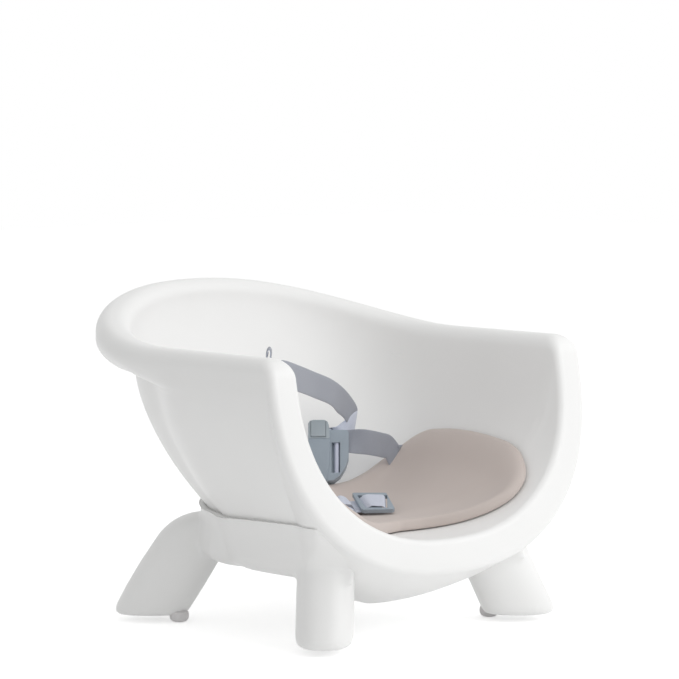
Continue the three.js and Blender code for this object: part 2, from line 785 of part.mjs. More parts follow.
// Anchor plates: the end of each piece of webbing lies under one, on the tub's inner wall.
const PLATE_SIZE = [30, 15, 2];
const PLATE_LIFT = 3.1; // over the webbing
const fromWall = (gap) => PAN_HALF_WIDTH - gap; // x of a place this far in from the upright inner wall
const ANCHORS = {
  left: { at: [-fromWall(39), 20], along: [0.15, 0.5, 0.2] },
  right: { at: [fromWall(39), 22], along: [0.5, 0.1, 0.5] },
  crotch: { at: [5, 12], along: [-1, 0, 0] },
};

function anchorFrame(anchor) {
  return panFrame(...anchor.at, anchor.along);
}

const anchorScrew = lathe([
  [0, -9],
  [1.2, -9],
  [2, -7.5],
  [2, 0],
  [4.2, 0],
  [4.2, 1.2],
  [3, 2.4],
  [0, 2.4],
]);

function plateSolid(extra, low) {
  const [length, width, thickness] = PLATE_SIZE;
  return boxSolid(
    [-length / 2 - extra, -width / 2 - extra, low],
    [length / 2 + extra, width / 2 + extra, PLATE_LIFT + thickness + extra],
  );
}

// Crotch plug: its own frame has x to the right, y up its slope and z out of its face.
const PLUG_CENTRE = [26.9, -25.7, 112.6];
const PLUG_TILT = 1.24;
const plugFrame = leaningFrame(PLUG_CENTRE, PLUG_TILT);

function makePlug() {
  const body = slab(
    [
      [-20, 18],
      [-18.5, 19],
      [12, 19],
      [13.5, 18],
      [21, -14],
      [19, -16.5],
      [-9, -18],
      [-11, -16.5],
    ],
    -2,
    2,
  );
  return body.subtract(boxSolid([9, -13.7, -5], [14.2, 13.7, 5]));
}

// Webbing paths
const inFrame = (frame) => (x, y, z) => new THREE.Vector3(x, y, z).applyMatrix4(frame).toArray();
const wayInFrame = (frame) => (x, y, z) => new THREE.Vector3(x, y, z).transformDirection(frame).toArray();
const UPWARD = [0, 0, 1];

function anchored(anchor) {
  const at = inFrame(anchorFrame(anchor));
  const across = wayInFrame(anchorFrame(anchor))(1, 0, 0);
  return [-9, 0, 9].map((y) => [at(0, y, 1.8), across]);
}

function harnessPaths() {
  const receiver = inFrame(receiverFrame);
  const receiverWay = wayInFrame(receiverFrame);
  const plug = inFrame(plugFrame);
  const plugWay = wayInFrame(plugFrame);
  const inward = FRONT_LEFT.map((v) => -v);
  const left = [
    ...anchored(ANCHORS.left),
    [[-fromWall(22), 20, 186], [0, 1, 0.1]],
    [[-fromWall(15), -20, 232], [0.3, 0.9, 0]],
    [[-fromWall(11.5), -68, 258], inward],
    [[-fromWall(10), -80, 272], inward],
    [[-fromWall(9.9), -81.4, 278.4], inward],
    [[-fromWall(11), -82.5, 280.2], inward],
    [[-fromWall(12.1), -83.6, 278.4], inward],
    [[-fromWall(12), -83.4, 270], inward],
    [[-fromWall(14), -82, 260], [0.6, 0.6, 0.5]],
    [[-fromWall(24), -76, 255], [0.2, 0.2, 0.9]],
    [[-130, -66, 253.5], UPWARD],
    [[-86, -40, 244], UPWARD],
    [[-30, -4, 231], UPWARD],
    [[15, 20, 219], [0.05, 0, 1]],
    [[45, 36, 209], [0.1, -0.1, 1]],
    [[61, 45, 202], [0.25, -0.25, 0.95]],
    [[70, 54, 195], [0.4, -0.45, 0.8]],
    [[71, 61, 190], [0.6, -0.6, 0.5]],
    [receiver(11, 43, -2.4), [0.72, -0.66, 0.1]],
    [receiver(7, 36, -2.8), receiverWay(1, -0.05, 0)],
    [receiver(6, 27, -2.8), receiverWay(1, 0, 0)],
    [receiver(6, 21, -2.8), receiverWay(1, 0, 0)],
  ];
  const right = [
    [receiver(13.5, 12, 0.6), receiverWay(0, 1, 0)],
    [receiver(22, 12, 0.6), receiverWay(0, 1, 0)],
    [receiver(34, 11, -1), receiverWay(0, 1, 0.1)],
    [overPan(92, 50, 37), [0, 0.3, 1]],
    [overPan(112, 52, 21), [0, 0.2, 1]],
    [overPan(fromWall(48), 54, 9.5), [0.25, 0.1, 1]],
    [overPan(fromWall(41), 49, 4.5), [0.5, 0.1, 0.9]],
    [onPan(fromWall(39), 41, 2.2), [0.7, 0, 0.7]],
    ...anchored(ANCHORS.right).reverse(),
  ];
  const crotch = [
    ...anchored(ANCHORS.crotch),
    [onPan(4, -5, 2.2), [-1, 0, 0]],
    [onPan(1, -12, 4.6), [-1, -0.1, 0]],
    [onPan(-3, -15.5, 9.8), [-0.9, -0.4, 0]],
    [plug(-31, -12, -2), plugWay(0, -1, 0.33)],
    [plug(-24.5, -10, -2.5), plugWay(0, -1, 0.33)],
    [plug(-22.4, -9, -0.8), plugWay(0, -1, 0.33)],
    [plug(-24.5, -8.5, 1.1), plugWay(0, -1, 0.33)],
    [plug(-32, -7.5, 1.3), plugWay(0, -1, 0.3)],
    [plug(-34.2, -6, 3.2), plugWay(0, -1, 0.25)],
    [plug(-32, -4.5, 5), plugWay(0, -1, 0.2)],
    [plug(-18, -1, 3.9), plugWay(0, -1, 0)],
    [plug(-8, 0, 3.1), plugWay(0, -1, 0)],
    [plug(6, 0, 3.1), plugWay(0, -1, 0)],
    [plug(10.3, 0, 2.4), plugWay(0, -1, 0)],
    [plug(11.7, 0, 0), plugWay(0, -1, 0)],
    [plug(11.8, 0, -2.6), plugWay(0, -1, 0)],
  ];
  return { left, right, crotch };
}

const tub = makeTub();
const { left, right, crotch } = harnessPaths();
const webs = {
  waist_strap_left: { stops: left, byPad: left.slice(0, 5), anchor: ANCHORS.left },
  waist_strap_right: { stops: right, byPad: right.slice(3), anchor: ANCHORS.right },
  crotch_strap: { stops: crotch, byPad: crotch.slice(0, 8), anchor: ANCHORS.crotch },
};
const PAD_TO_WEB = 1.1;

let shell = tub;
let pad = makePad().subtract(
  boxSolid([-PAD_SLOT.halfWidth, PAD_SLOT.from, 60], [PAD_SLOT.halfWidth, PAD_SLOT.to, 140]),
);
Object.entries(webs).forEach(([name, web]) => {
  const frame = anchorFrame(web.anchor);
  const shank = inWorld(rodSolid(2 + HOLE_GAP, -9.6, 20, 16), frame);
  shell = shell.subtract(shank);
  place(name, seatOnTub(makeWeb(web.stops, WEB_WIDTH, WEB_THICKNESS)).subtract(shank), webbing);
  const plate = plateSolid(0, PLATE_LIFT).subtract(rodSolid(2 + HOLE_GAP, -20, 20, 16));
  const short = name.replace("waist_strap_", "").replace("_strap", "");
  place("anchor_plate_" + short, plate, steel, frame);
  const head = moved(0, 0, PLATE_LIFT + PLATE_SIZE[2] + SEAT_GAP);
  place("anchor_screw_" + short, anchorScrew, steel, frame.clone().multiply(head));
  const clearance = plateSolid(0.6, -4);
  const headRoom = rodSolid(4.8, -4, PLATE_LIFT + PLATE_SIZE[2] + SEAT_GAP + 2.4 + 0.5);
  pad = pad
    .subtract(inWorld(clearance, frame))
    .subtract(inWorld(headRoom, frame))
    .subtract(makeWeb(web.byPad, WEB_WIDTH + 2 * PAD_TO_WEB, WEB_THICKNESS + 2 * PAD_TO_WEB));
});

let cradle = makeCradle();
const screwSpots = SCREW_SIDES.flatMap((side) => CRADLE_SCREWS.map(([x, y]) => [side * x, y]));
screwSpots.forEach(([x, y]) => {
  const at = moved(x, y);
  const tubZ = bowlHeight(x, y);
  const insertLow = tubZ + INSERT_RISE;
  const counterboreTop = tubZ - COUNTERBORE_DROP;
  const name = (y < 0 ? "front_" : "rear_") + (x < 0 ? "left" : "right");
  cradle = cradle
    .subtract(inWorld(rodSolid(COUNTERBORE_RADIUS, 0, counterboreTop), at))
    .subtract(inWorld(rodSolid(SCREW_RADIUS + HOLE_GAP, 0, 130), at))
    .subtract(inWorld(rodSolid(INSERT_RADIUS + HOLE_GAP, insertLow - SEAT_GAP, 130), at));
  shell = shell
    .subtract(inWorld(rodSolid(INSERT_RADIUS + HOLE_GAP, insertLow - 40, insertLow + INSERT_LENGTH), at))
    .subtract(inWorld(rodSolid(SCREW_RADIUS + HOLE_GAP, insertLow, insertLow + INSERT_LENGTH + 3), at));
  const insert = rodSolid(INSERT_RADIUS, insertLow, insertLow + INSERT_LENGTH - SEAT_GAP).subtract(
    rodSolid(INSERT_BORE, 0, 200, 20),
  );
  place("threaded_insert_" + name, insert, brass, at);
  const washerLow = counterboreTop - SEAT_GAP - WASHER_THICKNESS;
  const washer = rodSolid(WASHER_RADIUS, washerLow, washerLow + WASHER_THICKNESS).subtract(
    rodSolid(SCREW_RADIUS + HOLE_GAP, 0, 200, 20),
  );
  place("washer_" + name, washer, steel, at);
  const headTop = washerLow - SEAT_GAP;
  const screw = lathe([
    [0, headTop - SCREW_HEAD_HEIGHT + 1.6],
    [2, headTop - SCREW_HEAD_HEIGHT + 1.2],
    [2, headTop - SCREW_HEAD_HEIGHT],
    [SCREW_HEAD_RADIUS - 0.6, headTop - SCREW_HEAD_HEIGHT],
    [SCREW_HEAD_RADIUS, headTop - SCREW_HEAD_HEIGHT + 0.6],
    [SCREW_HEAD_RADIUS, headTop],
    [SCREW_RADIUS, headTop],
    [SCREW_RADIUS, insertLow + INSERT_LENGTH - 1],
    [SCREW_RADIUS - 0.6, insertLow + INSERT_LENGTH - 0.2],
    [0, insertLow + INSERT_LENGTH - 0.2],
  ]);
  place("cradle_screw_" + name, screw, steel, at);
});

const foot = lathe([
  [0, FLOOR_Z],
  [7, FLOOR_Z],
  [8.8, FLOOR_Z + 0.8],
  [FOOT_RADIUS, FLOOR_Z + 2.4],
  [FOOT_RADIUS, SOLE_Z - SEAT_GAP],
  [FOOT_STEM_RADIUS, SOLE_Z - SEAT_GAP],
  [FOOT_STEM_RADIUS, SOLE_Z + FOOT_STEM_LENGTH - 1],
  [FOOT_STEM_RADIUS - 1, SOLE_Z + FOOT_STEM_LENGTH],
  [0, SOLE_Z + FOOT_STEM_LENGTH],
]);
[-1, 1].forEach((sideX) =>
  [-1, 1].forEach((sideY) => {
    const at = moved(sideX * FOOT_X, sideY * FOOT_Y);
    const hole = rodSolid(FOOT_STEM_RADIUS + HOLE_GAP, -1, SOLE_Z + FOOT_STEM_LENGTH + 0.5);
    cradle = cradle.subtract(inWorld(hole, at));
    place("rubber_foot_" + (sideY < 0 ? "front_" : "rear_") + (sideX < 0 ? "left" : "right"), foot, rubber, at);
  }),
);

place("seat_shell", shell, white);
place("base_cradle", cradle, white);
place("seat_pad", pad, foam);
place("receiver_front", makeReceiverFront(), grey, receiverFrame);
place("receiver_back", makeReceiverBack(), grey, receiverFrame);
place("release_button", makeButton(), lightGrey, receiverFrame);
place("button_spring", makeSpring(3.2, 0.5, -3.95, 2.4, 3), steel, receiverFrame.clone().multiply(moved(-12, 25)));
place("strap_bar_side", barSolid, lightGrey, receiverFrame);
place("crotch_plug", makePlug(), grey, plugFrame);

// The origin is the middle of the outline's footprint, on the floor.
const bounds = new THREE.Box3().setFromObject(assembly);
assembly.position.set(-(bounds.min.x + bounds.max.x) / 2, -(bounds.min.y + bounds.max.y) / 2, -bounds.min.z);

const root = new THREE.Group();
root.add(assembly);
export default root;
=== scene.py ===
"""A low high-chair seat: white moulded tub on a cradle with four splayed legs, foam pad and harness.
Lengths are real millimetres in the source's own frame, and metres once they reach a mesh."""

import json
import math

import bmesh
import bpy
import numpy as np
from mathutils import Matrix, Vector


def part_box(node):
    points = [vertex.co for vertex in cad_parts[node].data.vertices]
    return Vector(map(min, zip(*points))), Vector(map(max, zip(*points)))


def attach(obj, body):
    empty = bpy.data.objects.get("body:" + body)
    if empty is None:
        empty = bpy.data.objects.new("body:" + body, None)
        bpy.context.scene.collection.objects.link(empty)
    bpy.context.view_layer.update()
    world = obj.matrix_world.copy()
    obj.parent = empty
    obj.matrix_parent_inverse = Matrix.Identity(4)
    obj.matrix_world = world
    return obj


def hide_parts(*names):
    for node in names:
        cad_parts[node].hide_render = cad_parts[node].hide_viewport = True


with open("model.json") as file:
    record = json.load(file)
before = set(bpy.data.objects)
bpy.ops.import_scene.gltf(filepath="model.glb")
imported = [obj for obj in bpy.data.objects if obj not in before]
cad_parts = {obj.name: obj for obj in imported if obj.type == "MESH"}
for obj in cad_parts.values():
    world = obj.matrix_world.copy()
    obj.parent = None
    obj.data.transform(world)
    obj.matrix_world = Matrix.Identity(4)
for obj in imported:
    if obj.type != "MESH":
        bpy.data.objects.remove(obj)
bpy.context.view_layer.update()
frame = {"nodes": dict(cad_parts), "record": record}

# Tub: rim and front band, with y = 0 halfway between the front and rear feet
ARM_HALF_WIDTH = 207
ARM_RIM_HEIGHT = 275
BACK_RIM_RISE = 48
BACK_REACH = 226
BACK_BEND_Y = 50
BACK_POWER = 2.2
RISE_START_Y = 25
RISE_POWER = 1.95
RIM_THICKNESS = 34
RIM_ROUNDING = 15
BAND_ROUNDING = 7
BAND_TOP_Z = 250
BAND_TOP_Y = -136
BAND_LEAN = 0.19
BAND_POWER = 2.35
LIP_Z = 63
ARM_CORNER_RADIUS = 22

# Tub: outer and inner walls
BOWL_CENTRE_Y = -50
BOWL_BOTTOM_Z = 21
BOWL_TOP_Z = 244
BOWL_POWER = 1.6
BOWL_BACK_POWER = 1.555
LEDGE_DEPTH = 39
LEDGE_HEIGHT = 30
LEDGE_START_Y = -5
LEDGE_FULL_Y = 106
LEDGE_POWER = 1.8
OUTER_DROP = 0.09  # where the rim is low, the outer wall starts this share of its height below the edge
PAN_CENTRE_Y = -10
PAN_Z = 93
PAN_TOP_Z = 250
PAN_SIDE_POWER = 2.4
PAN_BACK_POWER = 1.5
PAN_EASE_Z = 100  # above this, the inner wall's top rises with the edge
ARM_EDGE_Z = ARM_RIM_HEIGHT - RIM_ROUNDING

# Cradle
CRADLE_TOP_Z = 119
CRADLE_VOXEL = 2.2
CRADLE_SMOOTHING = 14  # rounds of smoothing, each this strong
CRADLE_SMOOTHING_SHARE = 0.6
CRADLE_BITE = 3  # how far the cradle goes into the tub's outer wall
SEAM_HEIGHTS = [(-150, 119), (-110, 117.2), (-60, 116), (-20, 114.6), (30, 111.4), (60, 112), (104, 118.5)]
SEAM_STEP = 0.7  # how far the cradle's top edge stands out from the tub
SEAM_BAND = 14  # the height below the top in which the outer side is fitted to the tub
SEAM_GRIP = 7  # how far inside that place a point may lie and still be brought out
SEAM_FRONT_GAP = 40  # the length behind the cradle's front that isn't fitted
ARM_PROFILE = [(121, 1), (117, 3.4), (112, 6), (100, 12), (87, 23), (75, 33), (67, 37), (62, 34), (60, 24)]
ARM_MESH_TOP = 126
ARM_ROWS = 40
ARM_REAR_SWELL = 0.5
SWELL_STARTS = (38, 88)  # y over which the arms' swell at the rear legs comes in
SWELL_ENDS = (150, 210)  # and y over which it goes again
SWELL_HEIGHTS = (120, 104)  # heights over which it comes in, downwards
ARM_BITE = 14
ARM_TUCK = 6
FRONT_CUT = 10  # from the front band's face back to the cradle's front
FAR = 400  # beyond every side of the seat
LEG_X = 131
LEG_Y = 123.5
LEG_REACH = math.hypot(LEG_X, LEG_Y)
LEG_HALF_TANGENT = 27
LEG_SQUARENESS = 2.4
LEG_POINTS = 64
LEG_ROWS = 50
FRONT_LEG_OUTER = [(8, 216), (38, 202), (67, 189.5), (119, 166)]
FRONT_LEG_ROWS = [
    (4.5, 148, 211, 22),
    (6.5, 145.5, 215, 25.5),
    (11, 143, 215.5, 27),
    (40, 130, 201.5, 27),
    (67, 118, 189.5, 27),
    (121, 94, 166, 27),
]
REAR_LEG_ROWS = [
    (4.5, 147, 213, 22),
    (6.5, 144, 215.5, 25.5),
    (11, 141, 215.5, 27),
    (33, 127, 204, 27),
    (55, 114, 191, 27),
    (70, 105, 181, 27),
    (79, 100, 175, 26.2),
    (86, 97, 170, 25.5),
    (95, 94, 160, 23),
    (101, 92, 149, 19),
    (104, 91, 138, 14),
]

# From this file's own frame to the CAD frame, by the tub's rearmost and highest places
_, shell_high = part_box("seat_shell")
SHIFT_Y = shell_high.y * 1000 - BACK_REACH
SHIFT_Z = shell_high.z * 1000 - ARM_RIM_HEIGHT - BACK_RIM_RISE

# The photograph's viewpoint, found from the feet, rim and front band
PHOTO_PIXELS = 679
FOCAL_PIXELS = 3236
HORIZON_ROW = 58.74
CAMERA_AZIMUTH = math.radians(43.64)
CAMERA_PITCH = math.atan((PHOTO_PIXELS / 2 - HORIZON_ROW) / FOCAL_PIXELS)
CAMERA_DISTANCE = 3142
CAMERA_HEIGHT = 546.08
CAMERA_SIDE_STEP = 4.53
SENSOR = 36
CAMERA_REACH = 50  # metres


def make_camera():
    forward = Vector((math.sin(CAMERA_AZIMUTH), math.cos(CAMERA_AZIMUTH), 0))
    side = Vector((math.cos(CAMERA_AZIMUTH), -math.sin(CAMERA_AZIMUTH), 0))
    place = -CAMERA_DISTANCE * forward + CAMERA_SIDE_STEP * side + Vector((0, 0, CAMERA_HEIGHT))
    place += Vector((0, SHIFT_Y, SHIFT_Z))
    data = bpy.data.cameras.new("camera")
    data.sensor_width = SENSOR
    data.sensor_height = SENSOR
    data.lens = SENSOR * FOCAL_PIXELS / PHOTO_PIXELS
    data.clip_end = CAMERA_REACH
    camera = bpy.data.objects.new("camera", data)
    bpy.context.scene.collection.objects.link(camera)
    camera.location = place / 1000
    camera.rotation_euler = (math.pi / 2 - CAMERA_PITCH, 0, -CAMERA_AZIMUTH)
    bpy.context.scene.camera = camera


make_camera()


# Shapes


def smooth_step(t):
    u = min(max(t, 0), 1)
    return u * u * (3 - 2 * u)


def ease_between(value, start, end):
    """0 up to the start, 1 from the end on, and a smooth change between them."""
    return smooth_step((value - start) / (end - start))


def band_y(z):
    return BAND_TOP_Y - BAND_LEAN * (BAND_TOP_Z - z)


def rim_z(y):
    t = max(y - RISE_START_Y, 0) / (BACK_REACH - RISE_START_Y)
    return ARM_RIM_HEIGHT + BACK_RIM_RISE * t**RISE_POWER


def unit(v):
    return v / np.linalg.norm(v)


BAND_STEPS = 44
CORNER_STEPS = 10
ARM_STEPS = 14
BACK_STEPS = 38


def half_loop(inset):
    """The loop that the rim and front band follow, from the front middle to the back middle."""
    lean = math.atan(BAND_LEAN)
    half_width = ARM_HALF_WIDTH - inset
    entries = []

    def keep(point, facing, rounding, ledge=0.0, back=0.0):
        entries.append(
            {"point": np.array(point, float), "facing": np.array(facing, float), "rounding": rounding,
             "ledge": ledge, "back": back}
        )

    for i in range(BAND_STEPS + 1):
        angle = math.pi / 2 * i / BAND_STEPS
        x = half_width * math.sin(angle) ** (2 / BAND_POWER)
        drop = max(math.cos(angle), 0) ** (2 / BAND_POWER)
        z = BAND_TOP_Z - (BAND_TOP_Z - LIP_Z - inset) * drop
        keep((x, band_y(z), z), (0, -math.cos(lean), math.sin(lean)), BAND_ROUNDING)
    corner_z = ARM_RIM_HEIGHT - ARM_CORNER_RADIUS
    corner_y = band_y(corner_z) + ARM_CORNER_RADIUS / math.cos(lean)
    for i in range(CORNER_STEPS + 1):
        t = i / CORNER_STEPS
        angle = lean + (math.pi / 2 - lean) * t
        facing = (0, -math.cos(angle), math.sin(angle))
        y = corner_y - ARM_CORNER_RADIUS * math.cos(angle)
        z = corner_z + ARM_CORNER_RADIUS * math.sin(angle)
        rounding = BAND_ROUNDING + (RIM_ROUNDING - BAND_ROUNDING) * smooth_step(t)
        keep((half_width, y, z), facing, rounding)

    def keep_rim(x, y, outer_y):
        ledge = LEDGE_DEPTH * ease_between(outer_y, LEDGE_START_Y, LEDGE_FULL_Y)
        keep((x, y, rim_z(outer_y)), (0, 0, 1), RIM_ROUNDING, ledge, smooth_step(outer_y / BACK_REACH))

    for i in range(1, ARM_STEPS + 1):
        y = corner_y + (BACK_BEND_Y - corner_y) * i / ARM_STEPS
        keep_rim(half_width, y, y)
    for i in range(1, BACK_STEPS + 1):
        angle = math.pi / 2 * i / BACK_STEPS
        across = math.cos(angle) ** (2 / BACK_POWER) if i < BACK_STEPS else 0
        along = math.sin(angle) ** (2 / BACK_POWER)
        reach = BACK_REACH - BACK_BEND_Y
        keep_rim(half_width * across, BACK_BEND_Y + (reach - inset) * along, BACK_BEND_Y + reach * along)
    return entries


def full_loop(inset):
    half = half_loop(inset)
    mirrored = [{**e, "point": e["point"] * (-1, 1, 1)} for e in reversed(half[1:-1])]
    return half + mirrored


class Wall:
    """One wall of the tub, as a curve in the upright plane through its axis and an edge point."""

    def __init__(self, edge, centre_y, bottom_z, top_z, power, inset=0.0):
        self.centre_y, self.bottom_z, self.top_z, self.power = centre_y, bottom_z, top_z, power
        away = np.array([edge[0], edge[1] - centre_y])
        reach = np.linalg.norm(away)
        self.way = away / reach
        self.full = reach / self.share(edge[2]) if edge[2] < top_z else reach - inset

    def share(self, z):
        ratio = min(max((self.top_z - z) / (self.top_z - self.bottom_z), 0), 1)
        return (1 - ratio**self.power) ** (1 / self.power)

    def at(self, distance, z):
        return np.array([self.way[0] * distance, self.centre_y + self.way[1] * distance, z])

    def distance_at(self, z):
        return self.full * self.share(z)

    def turn_at(self, z):
        ratio = min((self.top_z - min(z, self.top_z)) / (self.top_z - self.bottom_z), 1)
        return math.acos(ratio ** (self.power / 2))

    def point_at(self, turn):
        z = self.top_z - (self.top_z - self.bottom_z) * math.cos(turn) ** (2 / self.power)
        return self.at(self.full * math.sin(turn) ** (2 / self.power), z)


INNER_ROWS = 30
CAP_ROWS = 8
LEDGE_ROWS = 12
OUTER_ROWS = 30


def edge_of(entry):
    return entry["point"] - entry["facing"] * entry["rounding"]


def pan_wall(entry):
    edge = edge_of(entry)
    power = PAN_SIDE_POWER + (PAN_BACK_POWER - PAN_SIDE_POWER) * entry["back"]
    top_z = PAN_TOP_Z + (ARM_EDGE_Z - PAN_TOP_Z) * ease_between(edge[2], PAN_EASE_Z, ARM_EDGE_Z)
    return Wall(edge, PAN_CENTRE_Y, PAN_Z, max(edge[2] + 0.01, top_z), power)


def bowl_wall(entry):
    power = BOWL_POWER + (BOWL_BACK_POWER - BOWL_POWER) * entry["back"]
    return Wall(edge_of(entry), BOWL_CENTRE_Y, BOWL_BOTTOM_Z, BOWL_TOP_Z, power, entry["ledge"])


def inner_rows(entry):
    wall = pan_wall(entry)
    turn = wall.turn_at(edge_of(entry)[2])
    return [wall.point_at(turn * j / INNER_ROWS) for j in range(1, INNER_ROWS)] + [edge_of(entry)]


def cap_rows(inner, outer):
    across = unit(outer["point"] - inner["point"])
    r = outer["rounding"]
    inner_hub = inner["point"] - inner["facing"] * r + across * r
    outer_hub = outer["point"] - outer["facing"] * r - across * r
    rows = []
    for j in range(1, CAP_ROWS + 1):
        angle = math.pi / 2 * j / CAP_ROWS
        rows.append(inner_hub - across * r * math.cos(angle) + inner["facing"] * r * math.sin(angle))
    for j in range(CAP_ROWS + 1):
        angle = math.pi / 2 * j / CAP_ROWS
        rows.append(outer_hub + across * r * math.sin(angle) + outer["facing"] * r * math.cos(angle))
    return rows


def outer_rows(entry):
    edge_z = edge_of(entry)[2]
    wall = bowl_wall(entry)
    foot_z = min(BOWL_TOP_Z, edge_z - OUTER_DROP * (edge_z - BOWL_BOTTOM_Z))
    head_z = min(foot_z + LEDGE_HEIGHT, edge_z - 1)
    rows = []
    for j in range(LEDGE_ROWS + 1):
        angle = math.pi / 2 * j / LEDGE_ROWS
        z = head_z - (head_z - foot_z) * math.sin(angle) ** (2 / LEDGE_POWER)
        proud = entry["ledge"] * max(math.cos(angle), 0) ** (2 / LEDGE_POWER)
        rows.append(wall.at(wall.distance_at(z) + proud, z))
    turn = wall.turn_at(foot_z)
    return rows + [wall.point_at(turn * (1 - j / OUTER_ROWS)) for j in range(1, OUTER_ROWS)]


# Meshes


def new_object(name, points, faces, smooth=True, marks=None):
    """A mesh object from points in millimetres. Marks are places on the unrolled surface, one for
    each point."""
    mesh = bpy.data.meshes.new(name)
    placed = (np.array(points, float) + (0, SHIFT_Y, SHIFT_Z)) / 1000
    mesh.from_pydata(placed.tolist(), [], [list(map(int, f)) for f in faces])
    mesh.update()
    if marks is not None:
        layer = mesh.uv_layers.new(name="unrolled")
        for loop in mesh.loops:
            layer.data[loop.index].uv = marks[loop.vertex_index]
    bm = bmesh.new()
    bm.from_mesh(mesh)
    bmesh.ops.remove_doubles(bm, verts=bm.verts, dist=1e-7)
    bmesh.ops.recalc_face_normals(bm, faces=bm.faces)
    bm.to_mesh(mesh)
    bm.free()
    for polygon in mesh.polygons:
        polygon.use_smooth = smooth
    obj = bpy.data.objects.new(name, mesh)
    bpy.context.scene.collection.objects.link(obj)
    return obj


def pole_to_pole(columns, first_pole, last_pole):
    rows = len(columns[0])
    points = [p for column in columns for p in column] + [first_pole, last_pole]
    first, last = len(points) - 2, len(points) - 1
    faces = []
    for k in range(len(columns)):
        a, b = k * rows, (k + 1) % len(columns) * rows
        faces.append((first, a, b))
        faces += [(a + j, a + j + 1, b + j + 1, b + j) for j in range(rows - 1)]
        faces.append((last, b + rows - 1, a + rows - 1))
    return points, faces


def loft(sections, joined=False):
    size = len(sections[0])
    points = [p for section in sections for p in section]
    faces = []
    bands = len(sections) if joined else len(sections) - 1
    for k in range(bands):
        a, b = k * size, (k + 1) % len(sections) * size
        for j in range(size):
            n = (j + 1) % size
            faces.append((a + j, a + n, b + n, b + j))
    if not joined:
        faces.append(tuple(reversed(range(size))))
        faces.append(tuple(range(len(points) - size, len(points))))
    return points, faces


def apply_modifiers(obj):
    depsgraph = bpy.context.evaluated_depsgraph_get()
    mesh = bpy.data.meshes.new_from_object(obj.evaluated_get(depsgraph))
    old = obj.data
    obj.modifiers.clear()
    obj.data = mesh
    bpy.data.meshes.remove(old)


def join(first, *others):
    bm = bmesh.new()
    for piece in (first, *others):
        bm.from_mesh(piece.data)
    bm.to_mesh(first.data)
    bm.free()
    for piece in others:
        bpy.data.objects.remove(piece)
    return first


def make_shell():
    outer, inner = full_loop(0), full_loop(RIM_THICKNESS)
    columns = [inner_rows(i) + cap_rows(i, o) + outer_rows(o) for i, o in zip(inner, outer)]
    points, faces = pole_to_pole(columns, (0, PAN_CENTRE_Y, PAN_Z), (0, BOWL_CENTRE_Y, BOWL_BOTTOM_Z))
    return new_object("tub", points, faces)


def smooth_rows(rows, count):
    """Rows spread evenly in height, by straight steps between the given ones."""
    table = np.array(rows, float)
    heights = np.linspace(table[0, 0], table[-1, 0], count)
    return [[z] + [float(np.interp(z, table[:, 0], table[:, k])) for k in (1, 2, 3)] for z in heights]


def squared(share):
    """A sine or cosine, changed so that it makes a rounded square in place of a circle."""
    return math.copysign(abs(share) ** (2 / LEG_SQUARENESS), share)


def leg_mesh(rows, side_x, side_y):
    outward = np.array([side_x * LEG_X, side_y * LEG_Y]) / LEG_REACH
    sideways = np.array([-outward[1], outward[0]])
    sections = []
    for z, inner, outer, half_width in smooth_rows(rows, LEG_ROWS):
        section = []
        for j in range(LEG_POINTS):
            angle = 2 * math.pi * (j + 0.5) / LEG_POINTS
            reach = (inner + outer) / 2 + (outer - inner) / 2 * squared(math.cos(angle))
            across = half_width * squared(math.sin(angle))
            section.append([*(outward * reach + sideways * across), z])
        sections.append(section)
    return loft(sections)


def arms_mesh():
    def band_support(z):
        drop = min((BAND_TOP_Z - z) / (BAND_TOP_Z - LIP_Z), 1)
        half_width = ARM_HALF_WIDTH * (1 - drop**BAND_POWER) ** (1 / BAND_POWER)
        return (half_width * LEG_X - band_y(z) * LEG_Y) / LEG_REACH

    leg_outer = np.array(FRONT_LEG_OUTER, float)
    profile = np.array(ARM_PROFILE, float)[::-1]
    heights = np.linspace(profile[0, 0], ARM_MESH_TOP, ARM_ROWS)[::-1]
    sections = []
    for entry in full_loop(0):
        wall = bowl_wall(entry)
        y = entry["point"][1]
        beside = ease_between(y, *SWELL_STARTS) * (1 - ease_between(y, *SWELL_ENDS))
        section = []
        for z in heights:
            proud = float(np.interp(z, profile[:, 0], profile[:, 1]))
            proud *= 1 + ARM_REAR_SWELL * beside * ease_between(z, *SWELL_HEIGHTS)
            distance = wall.distance_at(z) + proud
            p = wall.at(distance, z)
            support = (abs(p[0]) * LEG_X - p[1] * LEG_Y) / LEG_REACH
            most = max(band_support(z), float(np.interp(z, leg_outer[:, 0], leg_outer[:, 1]))) - ARM_TUCK
            distance -= max(support - most, 0)
            section.append(wall.at(max(distance, wall.distance_at(z) - 1), z))
        section += [wall.at(wall.distance_at(z) - ARM_BITE, z) for z in heights[::-1]]
        sections.append(section)
    return loft(sections, joined=True)


def cut_with(obj, points, faces):
    cutter = new_object("cutter", points, faces, smooth=False)
    modifier = obj.modifiers.new("cut", "BOOLEAN")
    modifier.operation = "DIFFERENCE"
    modifier.solver = "EXACT"
    modifier.object = cutter
    apply_modifiers(obj)
    bpy.data.objects.remove(cutter)


def box_mesh(low, high, lean=0.0):
    corners = [[x, y, z] for x in (low[0], high[0]) for y in (low[1], high[1]) for z in (low[2], high[2])]
    points = [[x, y + lean * z, z] for x, y, z in corners]
    faces = [(0, 1, 3, 2), (4, 6, 7, 5), (0, 4, 5, 1), (2, 3, 7, 6), (0, 2, 6, 4), (1, 5, 7, 3)]
    return points, faces


def wall_table(entries, wall_of, centre_y):
    """For each entry: its direction from the axis, and its wall's full reach, top and power."""
    table = []
    for entry in entries:
        wall = wall_of(entry)
        edge = edge_of(entry)
        table.append([math.atan2(edge[1] - centre_y, edge[0]), wall.full, wall.top_z, wall.power])
    return np.array(table)


